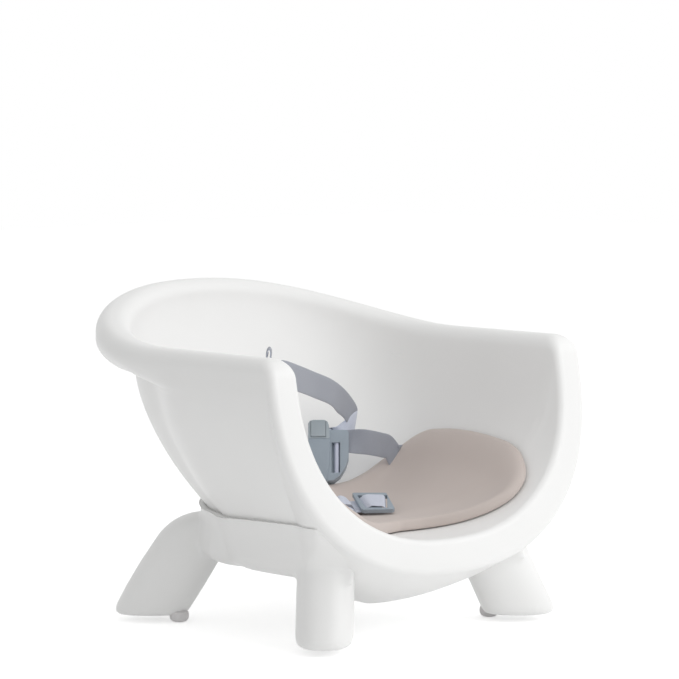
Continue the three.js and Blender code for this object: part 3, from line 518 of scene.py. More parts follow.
def wall_towards(table, x, y, centre_y):
    """The full reach, top and power of a wall in the direction of a place."""
    angle = math.atan2(y - centre_y, abs(x))
    return [float(np.interp(angle, table[:, 0], table[:, k])) for k in (1, 2, 3)]


bowl_table = wall_table(half_loop(0), bowl_wall, BOWL_CENTRE_Y)
pan_table = wall_table(half_loop(RIM_THICKNESS), pan_wall, PAN_CENTRE_Y)


def bowl_distance(x, y, z):
    """How far the tub's outer wall is from its upright axis, in the direction of a place."""
    full, _, power = wall_towards(bowl_table, x, y, BOWL_CENTRE_Y)
    ratio = min(max((BOWL_TOP_Z - z) / (BOWL_TOP_Z - BOWL_BOTTOM_Z), 0), 1)
    return full * (1 - ratio**power) ** (1 / power)


def bowl_core():
    """The tub's outer wall as a filled body, a little smaller, to cut the cradle's inside away."""
    columns = []
    for entry in full_loop(0):
        way = bowl_wall(entry).way
        columns.append([p - (way[0] * CRADLE_BITE, way[1] * CRADLE_BITE, 0) for p in outer_rows(entry)])
    lid = (0, BOWL_CENTRE_Y, ARM_RIM_HEIGHT + BACK_RIM_RISE)
    return pole_to_pole(columns, lid, (0, BOWL_CENTRE_Y, BOWL_BOTTOM_Z + CRADLE_BITE))


def open_front(arms, front):
    """Cuts the ring of arms open at the front, between the front legs' sides that face each other."""
    apex = -LEG_HALF_TANGENT * LEG_REACH / LEG_X
    side = np.array([LEG_X, LEG_Y]) / LEG_REACH * FAR
    corners = [(0, apex), (-side[0], apex - side[1]), (side[0], apex - side[1])]
    cut_with(arms, *loft([[(x, y, z) for x, y in corners] for z in (-20, 200)]))
    cut_with(arms, *box_mesh((-FAR, -FAR, -10), (FAR, front, 300), BAND_LEAN))


def blend_together(obj):
    """One smooth skin over the pieces of an object, with soft hollows where they meet."""
    remesh = obj.modifiers.new("remesh", "REMESH")
    remesh.mode = "VOXEL"
    remesh.voxel_size = CRADLE_VOXEL / 1000
    remesh.use_smooth_shade = True
    apply_modifiers(obj)
    relax = obj.modifiers.new("relax", "SMOOTH")
    relax.factor = CRADLE_SMOOTHING_SHARE
    relax.iterations = CRADLE_SMOOTHING
    apply_modifiers(obj)


def stand_out_at_seam(cradle, front):
    """Brings the outer side, close below the top, a little way out from the tub."""
    for vertex in cradle.data.vertices:
        x, y, z = vertex.co * 1000 - Vector((0, SHIFT_Y, SHIFT_Z))
        distance = math.hypot(x, y - BOWL_CENTRE_Y)
        least = bowl_distance(x, y, z) + SEAM_STEP
        near_top = z > CRADLE_TOP_Z - SEAM_BAND and y > front + SEAM_FRONT_GAP
        if near_top and least - SEAM_GRIP < distance < least:
            x *= least / distance
            y = BOWL_CENTRE_Y + (y - BOWL_CENTRE_Y) * least / distance
            vertex.co = (Vector((x, y, z)) + Vector((0, SHIFT_Y, SHIFT_Z))) / 1000


def trim_to_seam(cradle):
    """Cuts the cradle off at its top, and lowers the edge to the seam that the photograph shows."""
    seam_y, seam_z = np.array(SEAM_HEIGHTS).T
    bm = bmesh.new()
    bm.from_mesh(cradle.data)
    plane = Vector((0, 0, (CRADLE_TOP_Z + SHIFT_Z) / 1000))
    geometry = bm.verts[:] + bm.edges[:] + bm.faces[:]
    halved = bmesh.ops.bisect_plane(bm, geom=geometry, plane_co=plane, plane_no=(0, 0, 1), clear_outer=True)
    rim = [e for e in halved["geom_cut"] if isinstance(e, bmesh.types.BMEdge)]
    bmesh.ops.triangle_fill(bm, edges=rim, use_beauty=True)
    for vertex in bm.verts:
        top = float(np.interp(vertex.co.y * 1000 - SHIFT_Y, seam_y, seam_z)) + SHIFT_Z
        vertex.co.z = min(vertex.co.z, top / 1000)
    bm.to_mesh(cradle.data)
    bm.free()


def make_cradle():
    cradle = new_object("cradle", *arms_mesh())
    front = BAND_TOP_Y - BAND_LEAN * BAND_TOP_Z + FRONT_CUT
    open_front(cradle, front)
    legs = []
    for side_x in (-1, 1):
        for rows, side_y in ((FRONT_LEG_ROWS, -1), (REAR_LEG_ROWS, 1)):
            legs.append(new_object("leg", *leg_mesh(rows, side_x, side_y)))
    join(cradle, *legs)
    blend_together(cradle)
    stand_out_at_seam(cradle, front)
    cut_with(cradle, *bowl_core())
    trim_to_seam(cradle)
    return cradle


# Seat pad

PAN_HALF_WIDTH = ARM_HALF_WIDTH - RIM_THICKNESS
PAD_SIDE_GAP = 15.8
PAD_HALF_WIDTH = PAN_HALF_WIDTH - PAD_SIDE_GAP
PAD_OUTLINE = [  # share of the half width, and y
    (0, -93), (0.14, -99), (0.29, -110), (0.43, -121), (0.6, -133), (0.72, -138), (0.83, -135),
    (0.92, -121), (0.97, -99), (0.99, -70), (1, -30), (0.996, 2), (0.98, 22), (0.935, 37), (0.85, 47.5),
    (0.73, 53), (0.55, 53), (0.3, 49), (0, 46),
]
PAD_CENTRE_Y = -40
PAD_SECTION = [  # share of the outline's reach, and height above the tub
    (0.3, 1.2), (0.6, 1.2), (0.85, 1.2), (0.97, 1.2), (0.985, 1.8), (0.996, 3), (1, 4.6), (0.997, 6.6),
    (0.988, 8.8), (0.974, 10.5), (0.955, 11.5), (0.93, 12), (0.9, 11.8), (0.865, 11.1), (0.82, 10.4),
    (0.75, 9.9), (0.6, 9.5), (0.3, 9.5), (0.1, 9.5),
]
PAD_UNDERSIDE = PAD_SECTION[0][1]
PAD_MIDDLE_TOP = PAD_SECTION[-1][1]
PAD_REACH = 150  # gives the section's shares about the length that they have on the pad
PAD_SLOT_HALF_WIDTH = 21
PAD_SLOT_LOW = (-PAD_SLOT_HALF_WIDTH, -26, 60)
PAD_SLOT_HIGH = (PAD_SLOT_HALF_WIDTH, -1, 140)
PAD_SHARP_ANGLE = 50
PAD_OUTLINE_POINTS = 110
PAD_SECTION_POINTS = 80

def pan_height(x, y):
    full, top_z, power = wall_towards(pan_table, x, y, PAN_CENTRE_Y)
    share = min(math.hypot(x, y - PAN_CENTRE_Y) / full, 0.9995)
    return top_z - (top_z - PAN_Z) * (1 - share**power) ** (1 / power)


def pan_frame(x, y, x_axis=(1, 0, 0)):
    """A place on the inner wall, the wall's normal there, and the two ways across it."""
    h = 2
    slope_x = (pan_height(x + h, y) - pan_height(x - h, y)) / (2 * h)
    slope_y = (pan_height(x, y + h) - pan_height(x, y - h)) / (2 * h)
    normal = unit(np.array([-slope_x, -slope_y, 1.0]))
    across = np.array(x_axis, float)
    across = unit(across - normal * across.dot(normal))
    return Frame((x, y, pan_height(x, y)), across, np.cross(normal, across), normal)


class Frame:
    def __init__(self, origin, x_axis, y_axis, z_axis):
        self.origin = np.array(origin, float)
        self.axes = np.array([x_axis, y_axis, z_axis], float)

    def __call__(self, x, y, z):
        return self.origin + np.array([x, y, z], float) @ self.axes

    def way(self, x, y, z):
        return np.array([x, y, z], float) @ self.axes


def on_pan(x, y, height):
    return pan_frame(x, y)(0, 0, height)


def over_pan(x, y, rise):
    return np.array([x, y, pan_height(x, y) + rise])


def smooth_run(points, step, knots_from=None):
    """Points along a centripetal curve through the given ones, with one about every step."""
    p = np.array(points, float)
    lead = p if knots_from is None else np.array(knots_from, float)
    gaps = np.maximum(np.linalg.norm(np.diff(lead, axis=0), axis=1), 1e-6)
    knots = np.concatenate([gaps[:1], gaps, gaps[-1:]]) ** 0.5
    p = np.vstack([2 * p[0] - p[1], p, 2 * p[-1] - p[-2]])
    run = []
    for k in range(1, len(p) - 2):
        before, here, after = knots[k - 1 : k + 2]
        a, b, c, d = p[k - 1 : k + 3]
        leave = ((b - a) / before - (c - a) / (before + here) + (c - b) / here) * here
        arrive = ((c - b) / here - (d - b) / (here + after) + (d - c) / after) * here
        for t in np.linspace(0, 1, max(3, math.ceil(gaps[k - 1] / step)), endpoint=False):
            bend = (2 * b - 2 * c + leave + arrive) * t**3 + (3 * c - 3 * b - 2 * leave - arrive) * t**2
            run.append(bend + leave * t + b)
    return np.array(run + [p[-2]])


def even_run(points, count):
    fine = smooth_run(points, np.linalg.norm(np.ptp(np.array(points, float), axis=0)) / 400)
    lengths = np.concatenate([[0], np.cumsum(np.linalg.norm(np.diff(fine, axis=0), axis=1))])
    places = np.linspace(0, lengths[-1], count)
    return np.stack([np.interp(places, lengths, fine[:, k]) for k in range(fine.shape[1])], 1)


def make_pad():
    half = even_run([(share * PAD_HALF_WIDTH, y) for share, y in PAD_OUTLINE], PAD_OUTLINE_POINTS)
    outline = np.vstack([half, (half[1:-1] * (-1, 1))[::-1]])
    section = even_run([(share * PAD_REACH, height) for share, height in PAD_SECTION], PAD_SECTION_POINTS)

    def on_pad(x, y, reach, height):
        return on_pan(x * reach / PAD_REACH, PAD_CENTRE_Y + (y - PAD_CENTRE_Y) * reach / PAD_REACH, height)

    columns = [[on_pad(x, y, reach, height) for reach, height in section] for x, y in outline]
    below, above = (on_pan(0, PAD_CENTRE_Y, height) for height in (PAD_UNDERSIDE, PAD_MIDDLE_TOP))
    points, faces = pole_to_pole(columns, below, above)
    pad = new_object("pad", points, faces)
    cut_with(pad, *box_mesh(PAD_SLOT_LOW, PAD_SLOT_HIGH))
    pad.data.set_sharp_from_angle(angle=math.radians(PAD_SHARP_ANGLE))
    return pad


# Webbing

WEB_WIDTH = 25
WEB_THICKNESS = 1.4
WEB_POINTS = 15
WEB_STEP = 1.3
FACE_GAP = 2.2  # in half widths, from where the outer face starts to where the inner one does, unrolled


def make_web(name, stops):
    """A band along a smooth path. Each stop is a point and the direction of the band's width, which is
    kept as it is at a fold and made square to the path everywhere else."""
    places = [stop[0] for stop in stops]
    path = smooth_run(places, WEB_STEP)
    ways = smooth_run([unit(np.array(stop[1], float)) for stop in stops], WEB_STEP, places)
    squares = smooth_run([[0 if stop[2:] == ("fold",) else 1] for stop in stops], WEB_STEP, places)[:, 0]
    tangents = np.gradient(path, axis=0)
    lengths = np.concatenate([[0], np.cumsum(np.linalg.norm(np.diff(path, axis=0), axis=1))])
    shares = np.sin(np.linspace(-math.pi / 2, math.pi / 2, WEB_POINTS))
    sections, marks = [], []
    for place, way, tangent, length, square in zip(path, ways, tangents, lengths, squares):
        tangent = unit(tangent)
        across = unit(way - tangent * way.dot(tangent) * square)
        face = unit(np.cross(tangent, across))
        section = []
        for side, run in ((1, shares), (-1, shares[::-1])):
            for share in run:
                half = WEB_THICKNESS / 2 * max(1 - abs(share) ** 16, 0.02) ** 0.5
                section.append(place + across * share * WEB_WIDTH / 2 + face * side * half)
                marks.append(((share * side + 1 + (FACE_GAP if side < 0 else 0)) * WEB_WIDTH / 2, length))
        sections.append(section)
    return new_object(name, *loft(sections), marks=marks)


def leaning_frame(centre, tilt):
    """A frame that faces the front left and leans back by the given tilt."""
    front_left = unit(np.array([-0.69, -0.724, 0])) * math.cos(tilt)
    out = front_left + (0, 0, math.sin(tilt))
    across = unit(np.array([0.724, -0.69, 0]))
    return Frame(centre, across, np.cross(out, across), out)


receiver = leaning_frame([40, 50.1, 151.3], 0.5)
plug = leaning_frame([26.9, -25.7, 112.6], 1.24)
INWARD = (0.69, 0.724, 0)
UPWARD = (0, 0, 1)


def from_wall(gap):
    """x of a place this far in from the tub's upright inner wall."""
    return PAN_HALF_WIDTH - gap


def anchored(x, y, along):
    """The end of a band, lying on its anchor plate."""
    at = pan_frame(x, y, along)
    return [(at(0, step, 1.8), at.way(1, 0, 0)) for step in (-9, 0, 9)]


def left_stops():
    return [
        *anchored(-from_wall(39), 20, (0.15, 0.5, 0.2)),
        ((-from_wall(22), 20, 186), (0, 1, 0.1)),
        ((-from_wall(15), -20, 232), (0.3, 0.9, 0)),
        ((-from_wall(11.5), -68, 258), INWARD),
        ((-from_wall(10), -80, 272), INWARD),
        ((-from_wall(9.9), -81.4, 278.4), INWARD),
        ((-from_wall(11), -82.5, 280.2), INWARD),
        ((-from_wall(12.1), -83.6, 278.4), INWARD),
        ((-from_wall(12), -83.4, 270), INWARD),
        ((-from_wall(14), -82, 260), (0.6, 0.6, 0.5)),
        ((-from_wall(24), -76, 255), (0.2, 0.2, 0.9)),
        ((-130, -66, 253.5), UPWARD),
        ((-86, -40, 244), UPWARD),
        ((-30, -4, 231), UPWARD),
        ((12, 17.5, 219.5), (0.05, 0, 1)),
        ((47, 39.3, 206), (0.52, 0.07, 0.85), "fold"),
        ((71, 54.9, 195.8), (0.64, 0.19, 0.74), "fold"),
        ((89.2, 67.2, 185.5), (0.45, 0.1, 0.89), "fold"),
        ((94.8, 69.8, 179.6), (0.24, 0.01, 0.97), "fold"),
        ((85.7, 63.2, 177.5), (0.08, 0.05, 1), "fold"),
        ((75.2, 58.1, 172.6), (-0.3, 0.07, 0.95), "fold"),
        ((67.9, 54.7, 171.3), (-0.7, 0.4, 0.59), "fold"),
        (receiver(6, 25, -2.8), receiver.way(-1, 0.1, 0)),
        (receiver(6, 19, -2.8), receiver.way(-1, 0, 0)),
    ]


def right_stops():
    return [
        (receiver(12, 15.4, 0.6), receiver.way(0, 1, 0)),
        (receiver(21, 15.4, 0.6), receiver.way(0, 1, 0)),
        ((72, 33.5, 164.3), (0, 0.1, 1)),
        ((85, 33, 161.8), (0, 0.1, 1)),
        ((98, 35, 158.8), (0, 0.1, 1)),
        ((110, 36.5, 155.4), (0, 0.15, 1)),
        (over_pan(121, 36, 12), (0.2, 0.1, 1)),
        (over_pan(129, 35, 6), (0.45, 0.1, 0.9)),
        (on_pan(from_wall(40), 31.5, 2.6), (0.6, 0.05, 0.75)),
        *reversed(anchored(from_wall(39), 22, (0.5, 0.1, 0.5))[:2]),
    ]


def crotch_stops():
    return [
        *anchored(5, 12, (-1, 0, 0)),
        (on_pan(4, -5, 2.2), (-1, 0, 0)),
        (on_pan(0, -10.5, 4.6), (-1, -0.1, 0)),
        (on_pan(-3, -13.5, 10.4), (-0.8, -0.6, 0)),
        (plug(-28, -9, -5.2), plug.way(0, -1, 0.2)),
        (plug(-21, -7.5, -5.4), plug.way(0.29, -0.96, 0.15), "fold"),
        (plug(-18.8, -7, -3.4), plug.way(0.29, -0.96, 0.1), "fold"),
        (plug(-21, -6.8, -1.6), plug.way(0.29, -0.96, 0.05), "fold"),
        (plug(-31, -6, -0.9), plug.way(0, -1, 0.1)),
        (plug(-35, -5, 1.2), plug.way(0, -1, 0.1)),
        (plug(-32, -4, 3.6), plug.way(0, -1, 0)),
        (plug(-26, -3, 2.2), plug.way(0.15, -0.98, 0)),
        (plug(-19, -2, -2.9), plug.way(0.29, -0.96, 0), "fold"),
        (plug(-13.5, -1, -2.9), plug.way(0.29, -0.96, 0), "fold"),
        (plug(-8.7, -0.5, 0), plug.way(0.29, -0.96, 0), "fold"),
        (plug(-5, 0, 2.9), plug.way(0.27, -0.96, 0), "fold"),
        (plug(4, 0, 3.1), plug.way(0.1, -1, 0)),
        (plug(10.3, 0, 2.4), plug.way(0, -1, 0)),
        (plug(11.7, 0, 0), plug.way(0, -1, 0)),
        (plug(11.8, 0, -2.6), plug.way(0, -1, 0)),
    ]


# Buckle: receiver, button, strap bar and plug, each made in its own frame

RECEIVER_OUTLINE = [
    (-21, 33), (-19.5, 35.5), (-16, 36.5), (-5, 36.5), (-2, 35), (-0.6, 31), (0.4, 26), (17.5, 25.5),
    (19.3, 23.5), (19.3, -3), (16.5, -13), (11, -22.5), (4.5, -28), (-5, -29), (-12, -24), (-18, -14),
    (-21, -3),
]
PANEL_OUTLINE = [
    (-20.6, 33), (-19.2, 35.2), (-16, 36.1), (-5, 36.1), (-2.4, 34.7), (-1, 31), (0.2, 26), (0.4, 10),
    (0, -10), (-3, -28.2), (-5, -28.5), (-11.7, -23.8), (-17.6, -14), (-20.6, -3),
]
FACE_DEPTHS = (-4, 5.8)
BACK_DEPTHS = (-6.2, -4.3)
CAP_SPLIT = 16.4  # the panel is paler above this

# Boxes in the receiver's frame, each from its low corner to its high one
ABOVE_SPLIT = ((-30, CAP_SPLIT, 0), (30, 60, 9))
BELOW_SPLIT = ((-30, -60, 0), (30, CAP_SPLIT, 9))
CAP_HOLE = ((-18.7, 17.7, 0), (-3.5, 34.4, 9))
CAP = ((-18.4, 18, 2.2), (-3.8, 34.1, 8.2))
SPRING_ROOM = ((-17.2, 19.2, 0), (-5, 32.9, 5))
BAR_WINDOW = ((2.2, -20, 0), (10.7, 12.4, 9))
RIGHT_STRAP_SLOT = ((12.8, -1.5, -2), (24, 25.4, 3))
LEFT_STRAP_SLOT = ((-7.2, 19, -4.5), (19.2, 38, -1.6))

BAR_TURN_POINTS = 40
BAR_X = 7.6
BAR_DEPTH = 1.85
BAR_PROFILE = [  # place along the bar, and radius
    (-21, 1.4), (-20.6, 2.1), (-19.9, 2.5), (-19, 2.6), (11.5, 2.6), (12.4, 2.5), (13.1, 2.1), (13.5, 1.4),
]

PLUG_OUTLINE = [
    (-20, 18), (-18.5, 19), (12, 19), (13.5, 18), (21, -14), (19, -16.5), (-9, -18), (-11, -16.5),
]
PLUG_DEPTHS = (-2, 2)
PLUG_WINDOW = ((9, -13.7, -5), (14.2, 13.7, 5))
REAR_SLOT = [(-15.4, 13.6), (-11, 13.6), (-2.5, -13.6), (-6.9, -13.6)]

BEVEL_SEGMENTS = 4
BEVEL_ANGLE = 35
SHARP_ANGLE = 40


def slab(at, outline, low, high):
    sections = [[at(x, y, z) for x, y in outline] for z in (low, high)]
    return loft(sections)


def box_in(at, low, high):
    outline = [(low[0], low[1]), (high[0], low[1]), (high[0], high[1]), (low[0], high[1])]
    return slab(at, outline, low[2], high[2])


def round_edges(obj, width):
    bevel = obj.modifiers.new("bevel", "BEVEL")
    bevel.width = width / 1000
    bevel.segments = BEVEL_SEGMENTS
    bevel.limit_method = "ANGLE"
    bevel.angle_limit = math.radians(BEVEL_ANGLE)
    bevel.harden_normals = False
    apply_modifiers(obj)
    for polygon in obj.data.polygons:
        polygon.use_smooth = True
    obj.data.set_sharp_from_angle(angle=math.radians(SHARP_ANGLE))
    return obj


def make_receiver_front():
    body = new_object("receiver_face", *slab(receiver, RECEIVER_OUTLINE, *FACE_DEPTHS))
    panel = new_object("panel", *slab(receiver, PANEL_OUTLINE, 5, 7))
    cut_with(panel, *box_in(receiver, *ABOVE_SPLIT))
    for opening in (CAP_HOLE, BAR_WINDOW, RIGHT_STRAP_SLOT, LEFT_STRAP_SLOT):
        cut_with(body, *box_in(receiver, *opening))
    round_edges(body, 1.3)
    round_edges(panel, 0.6)
    return join(body, panel)


def make_surround():
    """The paler upper part of the panel, around the button."""
    surround = new_object("button_surround", *slab(receiver, PANEL_OUTLINE, 5, 7.1))
    cut_with(surround, *box_in(receiver, *BELOW_SPLIT))
    cut_with(surround, *box_in(receiver, *CAP_HOLE))
    return round_edges(surround, 0.5)


def make_receiver_back():
    return round_edges(new_object("receiver_rear", *slab(receiver, RECEIVER_OUTLINE, *BACK_DEPTHS)), 0.7)


def make_button():
    cap = new_object("push_button", *box_in(receiver, *CAP))
    cut_with(cap, *box_in(receiver, *SPRING_ROOM))
    return round_edges(cap, 0.7)


def make_bar():
    turns = np.linspace(0, 2 * math.pi, BAR_TURN_POINTS, endpoint=False)
    sections = []
    for y, radius in BAR_PROFILE:
        sections.append(
            [receiver(BAR_X + radius * math.cos(a), y, BAR_DEPTH + radius * math.sin(a)) for a in turns]
        )
    return new_object("strap_bar", *loft(sections))


def make_plug():
    body = new_object("crotch_tongue", *slab(plug, PLUG_OUTLINE, *PLUG_DEPTHS))
    cut_with(body, *box_in(plug, *PLUG_WINDOW))
    cut_with(body, *slab(plug, REAR_SLOT, -5, 5))
    return round_edges(body, 0.9)


# Rubber feet

FOOT_BOTTOM_Z = -2
FOOT_TOP_Z = 8.8
FOOT_PROFILE = [  # radius, and height
    (3, -1.95), (5, -1.65), (6.6, -1.1), (7.9, -0.2), (8.8, 1), (9.3, 2.4), (9.5, 4), (9.4, 6), (9, 8),
    (7, 8.6), (4, FOOT_TOP_Z),
]
FOOT_PROFILE_POINTS = 40
FOOT_TURN_POINTS = 72
FOOT_PLACES = {"front": -94, "rear": 94}
FOOT_X = 120.5


def make_foot(name, x, y):
    profile = even_run(FOOT_PROFILE, FOOT_PROFILE_POINTS)
    turns = np.linspace(0, 2 * math.pi, FOOT_TURN_POINTS, endpoint=False)
    columns = [[(x + r * math.cos(a), y + r * math.sin(a), z) for r, z in profile] for a in turns]
    return new_object(name, *pole_to_pole(columns, (x, y, FOOT_BOTTOM_Z), (x, y, FOOT_TOP_Z)))


# Materials


def srgb(r, g, b):
    def linear(c):
        c /= 255
        return c / 12.92 if c <= 0.04045 else ((c + 0.055) / 1.055) ** 2.4

    return (linear(r), linear(g), linear(b), 1)


class Material:
    """A principled material, with helpers that add the nodes its surface needs."""

    def __init__(self, name, colour, roughness, **sockets):
        self.made = bpy.data.materials.new(name)
        self.made.use_nodes = True
        self.nodes = self.made.node_tree.nodes
        self.links = self.made.node_tree.links
        self.shader = self.nodes["Principled BSDF"]
        self.shader.inputs["Base Color"].default_value = colour
        self.shader.inputs["Roughness"].default_value = roughness
        for socket, value in sockets.items():
            self.shader.inputs[socket.replace("_", " ")].default_value = value
        self.colour = colour
        self.roughness = roughness
        self.place = self.nodes.new("ShaderNodeTexCoord")
        self.bumps = None

    def link(self, source, target):
        self.links.new(source, target)

    def noise(self, scale, detail=3.0):
        noise = self.nodes.new("ShaderNodeTexNoise")
        noise.inputs["Scale"].default_value = scale
        noise.inputs["Detail"].default_value = detail
        self.link(self.place.outputs["Object"], noise.inputs["Vector"])
        return noise.outputs["Fac"]

    def maths(self, operation, first, second=None):
        node = self.nodes.new("ShaderNodeMath")
        node.operation = operation
        for socket, value in zip(node.inputs, (first, second)):
            if isinstance(value, (int, float)):
                socket.default_value = value
            elif value is not None:
                self.link(value, socket)
        return node.outputs["Value"]

    def spread(self, value, low, high):
        node = self.nodes.new("ShaderNodeMapRange")
        node.inputs["From Min"].default_value = 0.3
        node.inputs["From Max"].default_value = 0.7
        node.inputs["To Min"].default_value = low
        node.inputs["To Max"].default_value = high
        self.link(value, node.inputs["Value"])
        return node.outputs["Result"]

    def blend(self, value, first, second):
        """The first colour where the value is 0 and the second where it is 1."""
        mix = self.nodes.new("ShaderNodeMix")
        mix.data_type = "RGBA"
        self.link(value, mix.inputs[0])
        for socket, colour in zip([s for s in mix.inputs if s.type == "RGBA"], (first, second)):
            if isinstance(colour, tuple):
                socket.default_value = colour
            else:
                self.link(colour, socket)
        return [socket for socket in mix.outputs if socket.type == "RGBA"][0]

    def mottle(self, value, other):
        """Lets the colour drift towards another one as the value rises."""
        self.link(self.blend(value, self.colour, other), self.shader.inputs["Base Color"])

    def vary_roughness(self, value, spread):
        low, high = self.roughness - spread, self.roughness + spread
        self.link(self.spread(value, low, high), self.shader.inputs["Roughness"])

    def bump(self, value, strength, distance):
        bump = self.nodes.new("ShaderNodeBump")
        bump.inputs["Strength"].default_value = strength
        bump.inputs["Distance"].default_value = distance / 1000
        self.link(value, bump.inputs["Height"])
        if self.bumps is not None:
            self.link(self.bumps, bump.inputs["Normal"])
        self.bumps = bump.outputs["Normal"]
        self.link(self.bumps, self.shader.inputs["Normal"])


def moulded(name, colour, other, roughness, grain=900, depth=0.05, drift=6):
    """Smooth moulded plastic: a slight drift in tone, a fine skin, and an uneven sheen."""
    made = Material(name, colour, roughness)
    made.mottle(made.spread(made.noise(drift, 2.0), 0, 1), other)
    made.vary_roughness(made.noise(45, 4.0), 0.05)
    made.bump(made.noise(grain, 2.0), 0.35, depth)
    return made.made


RIB_PITCH = 1.25
THREAD_PITCH = 0.83


def woven(name, colour, other, painted_lit, painted_lit_other):
    """Webbing with the band's own darker colour on one face and a painted highlight, a paler lit copy of
    that colour, on the other face: ribs across the band and fine threads along it.
    """
    made = Material(name, colour, 0.78, Sheen_Weight=0.25, Sheen_Roughness=0.5)
    split = made.nodes.new("ShaderNodeSeparateXYZ")
    made.link(made.place.outputs["UV"], split.inputs["Vector"])
    ribs = made.maths("SINE", made.maths("MULTIPLY", split.outputs["Y"], 2 * math.pi / RIB_PITCH))
    threads = made.maths("SINE", made.maths("MULTIPLY", split.outputs["X"], 2 * math.pi / THREAD_PITCH))
    weave = made.maths("ADD", made.maths("MULTIPLY", ribs, threads), made.maths("MULTIPLY", ribs, 0.4))
    fuzz = made.noise(2600, 2.0)
    tone = made.spread(made.maths("ADD", made.maths("MULTIPLY", weave, 0.22), fuzz), 0, 1)
    between_faces = WEB_WIDTH * (1 + FACE_GAP / 2) / 2
    # painted highlight: the second face, past the gap in the unrolled marks, takes the paler lit copy of
    # the colour
    painted_lit_face = made.maths("GREATER_THAN", split.outputs["X"], between_faces)
    dark, light = made.blend(tone, colour, other), made.blend(tone, painted_lit, painted_lit_other)
    made.link(made.blend(painted_lit_face, dark, light), made.shader.inputs["Base Color"])
    made.bump(weave, 0.6, 0.12)
    made.bump(fuzz, 0.25, 0.08)
    return made.made


def foam_skin(name, colour, other):
    """Closed-cell foam with a soft matt skin."""
    made = Material(name, colour, 0.82, Sheen_Weight=0.12, Sheen_Roughness=0.6)
    made.mottle(made.spread(made.noise(9, 3.0), 0, 1), other)
    made.bump(made.noise(1500, 3.0), 0.5, 0.1)
    made.bump(made.noise(210, 2.0), 0.2, 0.15)
    return made.made


def turned_metal(name, colour, other, roughness):
    """Metal with a slight drift in tone and sheen."""
    made = Material(name, colour, roughness, Metallic=1)
    made.mottle(made.spread(made.noise(300, 3.0), 0, 1), other)
    made.vary_roughness(made.noise(900, 4.0), 0.08)
    return made.made


white_plastic = moulded("white_plastic", srgb(241, 241, 240), srgb(244, 244, 243), 0.42)
foam = foam_skin("pad_foam", srgb(203, 192, 186), srgb(198, 187, 181))
DARK_FACE = (srgb(160, 164, 174), srgb(142, 146, 156))
# The paler colour is a painted highlight, a lit copy of the webbing's own colour for where the band turns
# towards the light
PAINTED_LIT_FACE = (srgb(214, 219, 232), srgb(198, 203, 217))
webbing = woven("webbing", *DARK_FACE, *PAINTED_LIT_FACE)
hard = {"grain": 1600, "drift": 40}
buckle = moulded("buckle", srgb(152, 163, 173), srgb(148, 159, 169), 0.5, depth=0.04, **hard)
button = moulded("button", srgb(168, 178, 184), srgb(164, 174, 180), 0.48, depth=0.04, **hard)
bar_plastic = moulded("bar_plastic", srgb(200, 205, 222), srgb(196, 201, 218), 0.4, depth=0.03, **hard)
rubber = moulded("rubber", srgb(226, 224, 224), srgb(218, 216, 216), 0.72, grain=2200, depth=0.08, drift=60)
steel = turned_metal("steel", (0.6, 0.6, 0.6, 1), (0.5, 0.5, 0.51, 1), 0.3)
brass = turned_metal("brass", (0.55, 0.43, 0.2, 1), (0.48, 0.37, 0.16, 1), 0.3)


def dress(obj, made, slot, *nodes, body="chair"):
    obj.data.materials.clear()
    obj.data.materials.append(made)
    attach(obj, body)
    if nodes:
        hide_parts(*nodes)
    return obj


dress(make_shell(), white_plastic, "shell_white", "seat_shell")
dress(make_cradle(), white_plastic, "shell_white", "base_cradle")
dress(make_pad(), foam, "pad_foam", "seat_pad")
for web_name, stops in (("waist_web_left", left_stops()), ("waist_web_right", right_stops())):
    dress(make_web(web_name, stops), webbing, "webbing", web_name.replace("web", "strap"))
dress(make_web("crotch_web", crotch_stops()), webbing, "webbing", "crotch_strap")
dress(make_receiver_front(), buckle, "buckle_grey", "receiver_front")
dress(make_surround(), button, "button_grey")
dress(make_receiver_back(), buckle, "buckle_grey", "receiver_back")
dress(make_button(), button, "button_grey", "release_button", body="button")
dress(make_bar(), bar_plastic, "button_grey", "strap_bar_side")
dress(make_plug(), buckle, "buckle_grey", "crotch_plug")
for end, foot_y in FOOT_PLACES.items():
    for side, foot_x in (("left", -FOOT_X), ("right", FOOT_X)):
        foot = make_foot("foot_" + end + "_" + side, foot_x, foot_y)
        dress(foot, rubber, "rubber_grey", "rubber_foot_" + end + "_" + side)

for part in frame["record"]["subparts"]:
    if part["material_slot"] in ("steel", "brass"):
        node = frame["nodes"][part["node"]]
        node.data.materials.clear()
        node.data.materials.append(steel if part["material_slot"] == "steel" else brass)


# Floor and light

WORLD_STRENGTH = 0.55
FLOOR_GLOW = 0.08
FLOOR_SEEN = 0.5  # glow of the floor where it is seen, which leaves a faint shadow on white
FLOOR_REACH = 6000
FLOOR_Z = FOOT_BOTTOM_Z - 0.05
FLOOR_UNDERSIDE_Z = -12
LIGHT_SIZE = 2
LIGHT_DISTANCE = 2.5
LIGHT_AIM_Z = 0.15
LIGHTS = {  # the way towards each light, and its power
    "front": ((0, -1, 0.35), 8.1),
    "front_right": ((0.6, -1, 0.8), 14.4),
    "left": ((-1, -0.25, 0.5), 0.4),
    "right": ((1, -0.2, 0.6), 5.2),
    "top": ((0, 0, 1), 7.0),
}


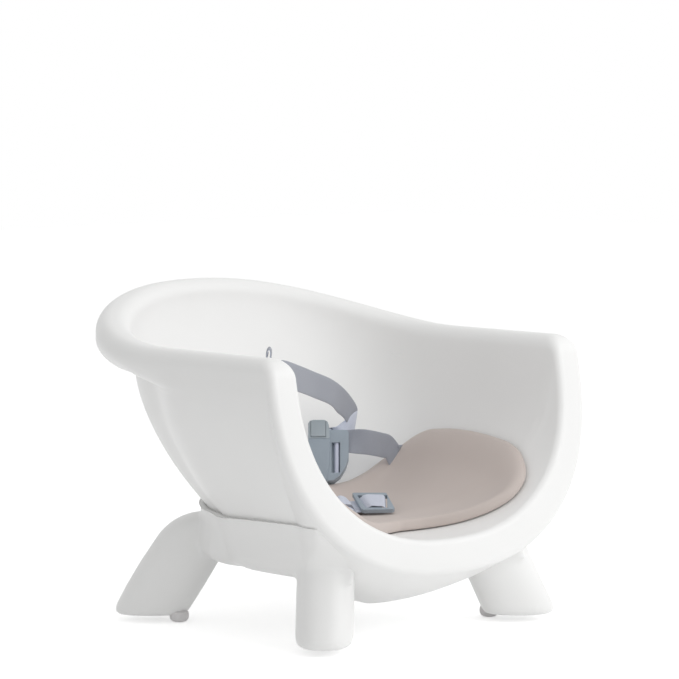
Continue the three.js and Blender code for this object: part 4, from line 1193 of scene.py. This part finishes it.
def seen_ray(nodes, links):
    """1 where the picture, a reflection or a clear part shows a surface, and 0 for the light that it
    gives to everything else."""
    path = nodes.new("ShaderNodeLightPath")
    seen = path.outputs["Is Camera Ray"]
    for kind in ("Is Glossy Ray", "Is Transmission Ray"):
        either = nodes.new("ShaderNodeMath")
        either.operation = "MAXIMUM"
        links.new(seen, either.inputs[0])
        links.new(path.outputs[kind], either.inputs[1])
        seen = either.outputs[0]
    return seen


def make_floor():
    low, high = (-FLOOR_REACH, -FLOOR_REACH, FLOOR_UNDERSIDE_Z), (FLOOR_REACH, FLOOR_REACH, FLOOR_Z)
    points, faces = box_mesh(low, high)
    floor = new_object("floor", points, faces, smooth=False)
    made = Material("floor", (0.9, 0.9, 0.9, 1), 0.9, Emission_Color=(1, 1, 1, 1))
    made.bump(made.noise(30, 2.0), 0.05, 0.2)
    seen = made.maths("MULTIPLY", seen_ray(made.nodes, made.links), FLOOR_SEEN - FLOOR_GLOW)
    made.link(made.maths("ADD", seen, FLOOR_GLOW), made.shader.inputs["Emission Strength"])
    floor.data.materials.append(made.made)


def make_light(name, direction, power):
    data = bpy.data.lights.new(name, "AREA")
    data.shape = "DISK"
    data.size = LIGHT_SIZE
    data.energy = power
    light = bpy.data.objects.new(name, data)
    way = Vector(direction).normalized()
    light.location = way * LIGHT_DISTANCE + Vector((0, 0, LIGHT_AIM_Z))
    light.rotation_euler = way.to_track_quat("Z", "Y").to_euler()
    bpy.context.scene.collection.objects.link(light)


def make_world():
    world = bpy.data.worlds.new("world")
    world.use_nodes = True
    nodes, links = world.node_tree.nodes, world.node_tree.links
    background = nodes["Background"]
    background.inputs["Color"].default_value = (1, 1, 1, 1)
    background.inputs["Strength"].default_value = WORLD_STRENGTH
    seen = nodes.new("ShaderNodeBackground")
    seen.inputs["Color"].default_value = (1, 1, 1, 1)
    seen.inputs["Strength"].default_value = 1
    mix = nodes.new("ShaderNodeMixShader")
    links.new(seen_ray(nodes, links), mix.inputs["Fac"])
    links.new(background.outputs["Background"], mix.inputs[1])
    links.new(seen.outputs["Background"], mix.inputs[2])
    links.new(mix.outputs["Shader"], nodes["World Output"].inputs["Surface"])
    bpy.context.scene.world = world


make_floor()
make_world()
for name, (direction, power) in LIGHTS.items():
    make_light(name, direction, power)
bpy.context.scene.view_settings.view_transform = "Standard"
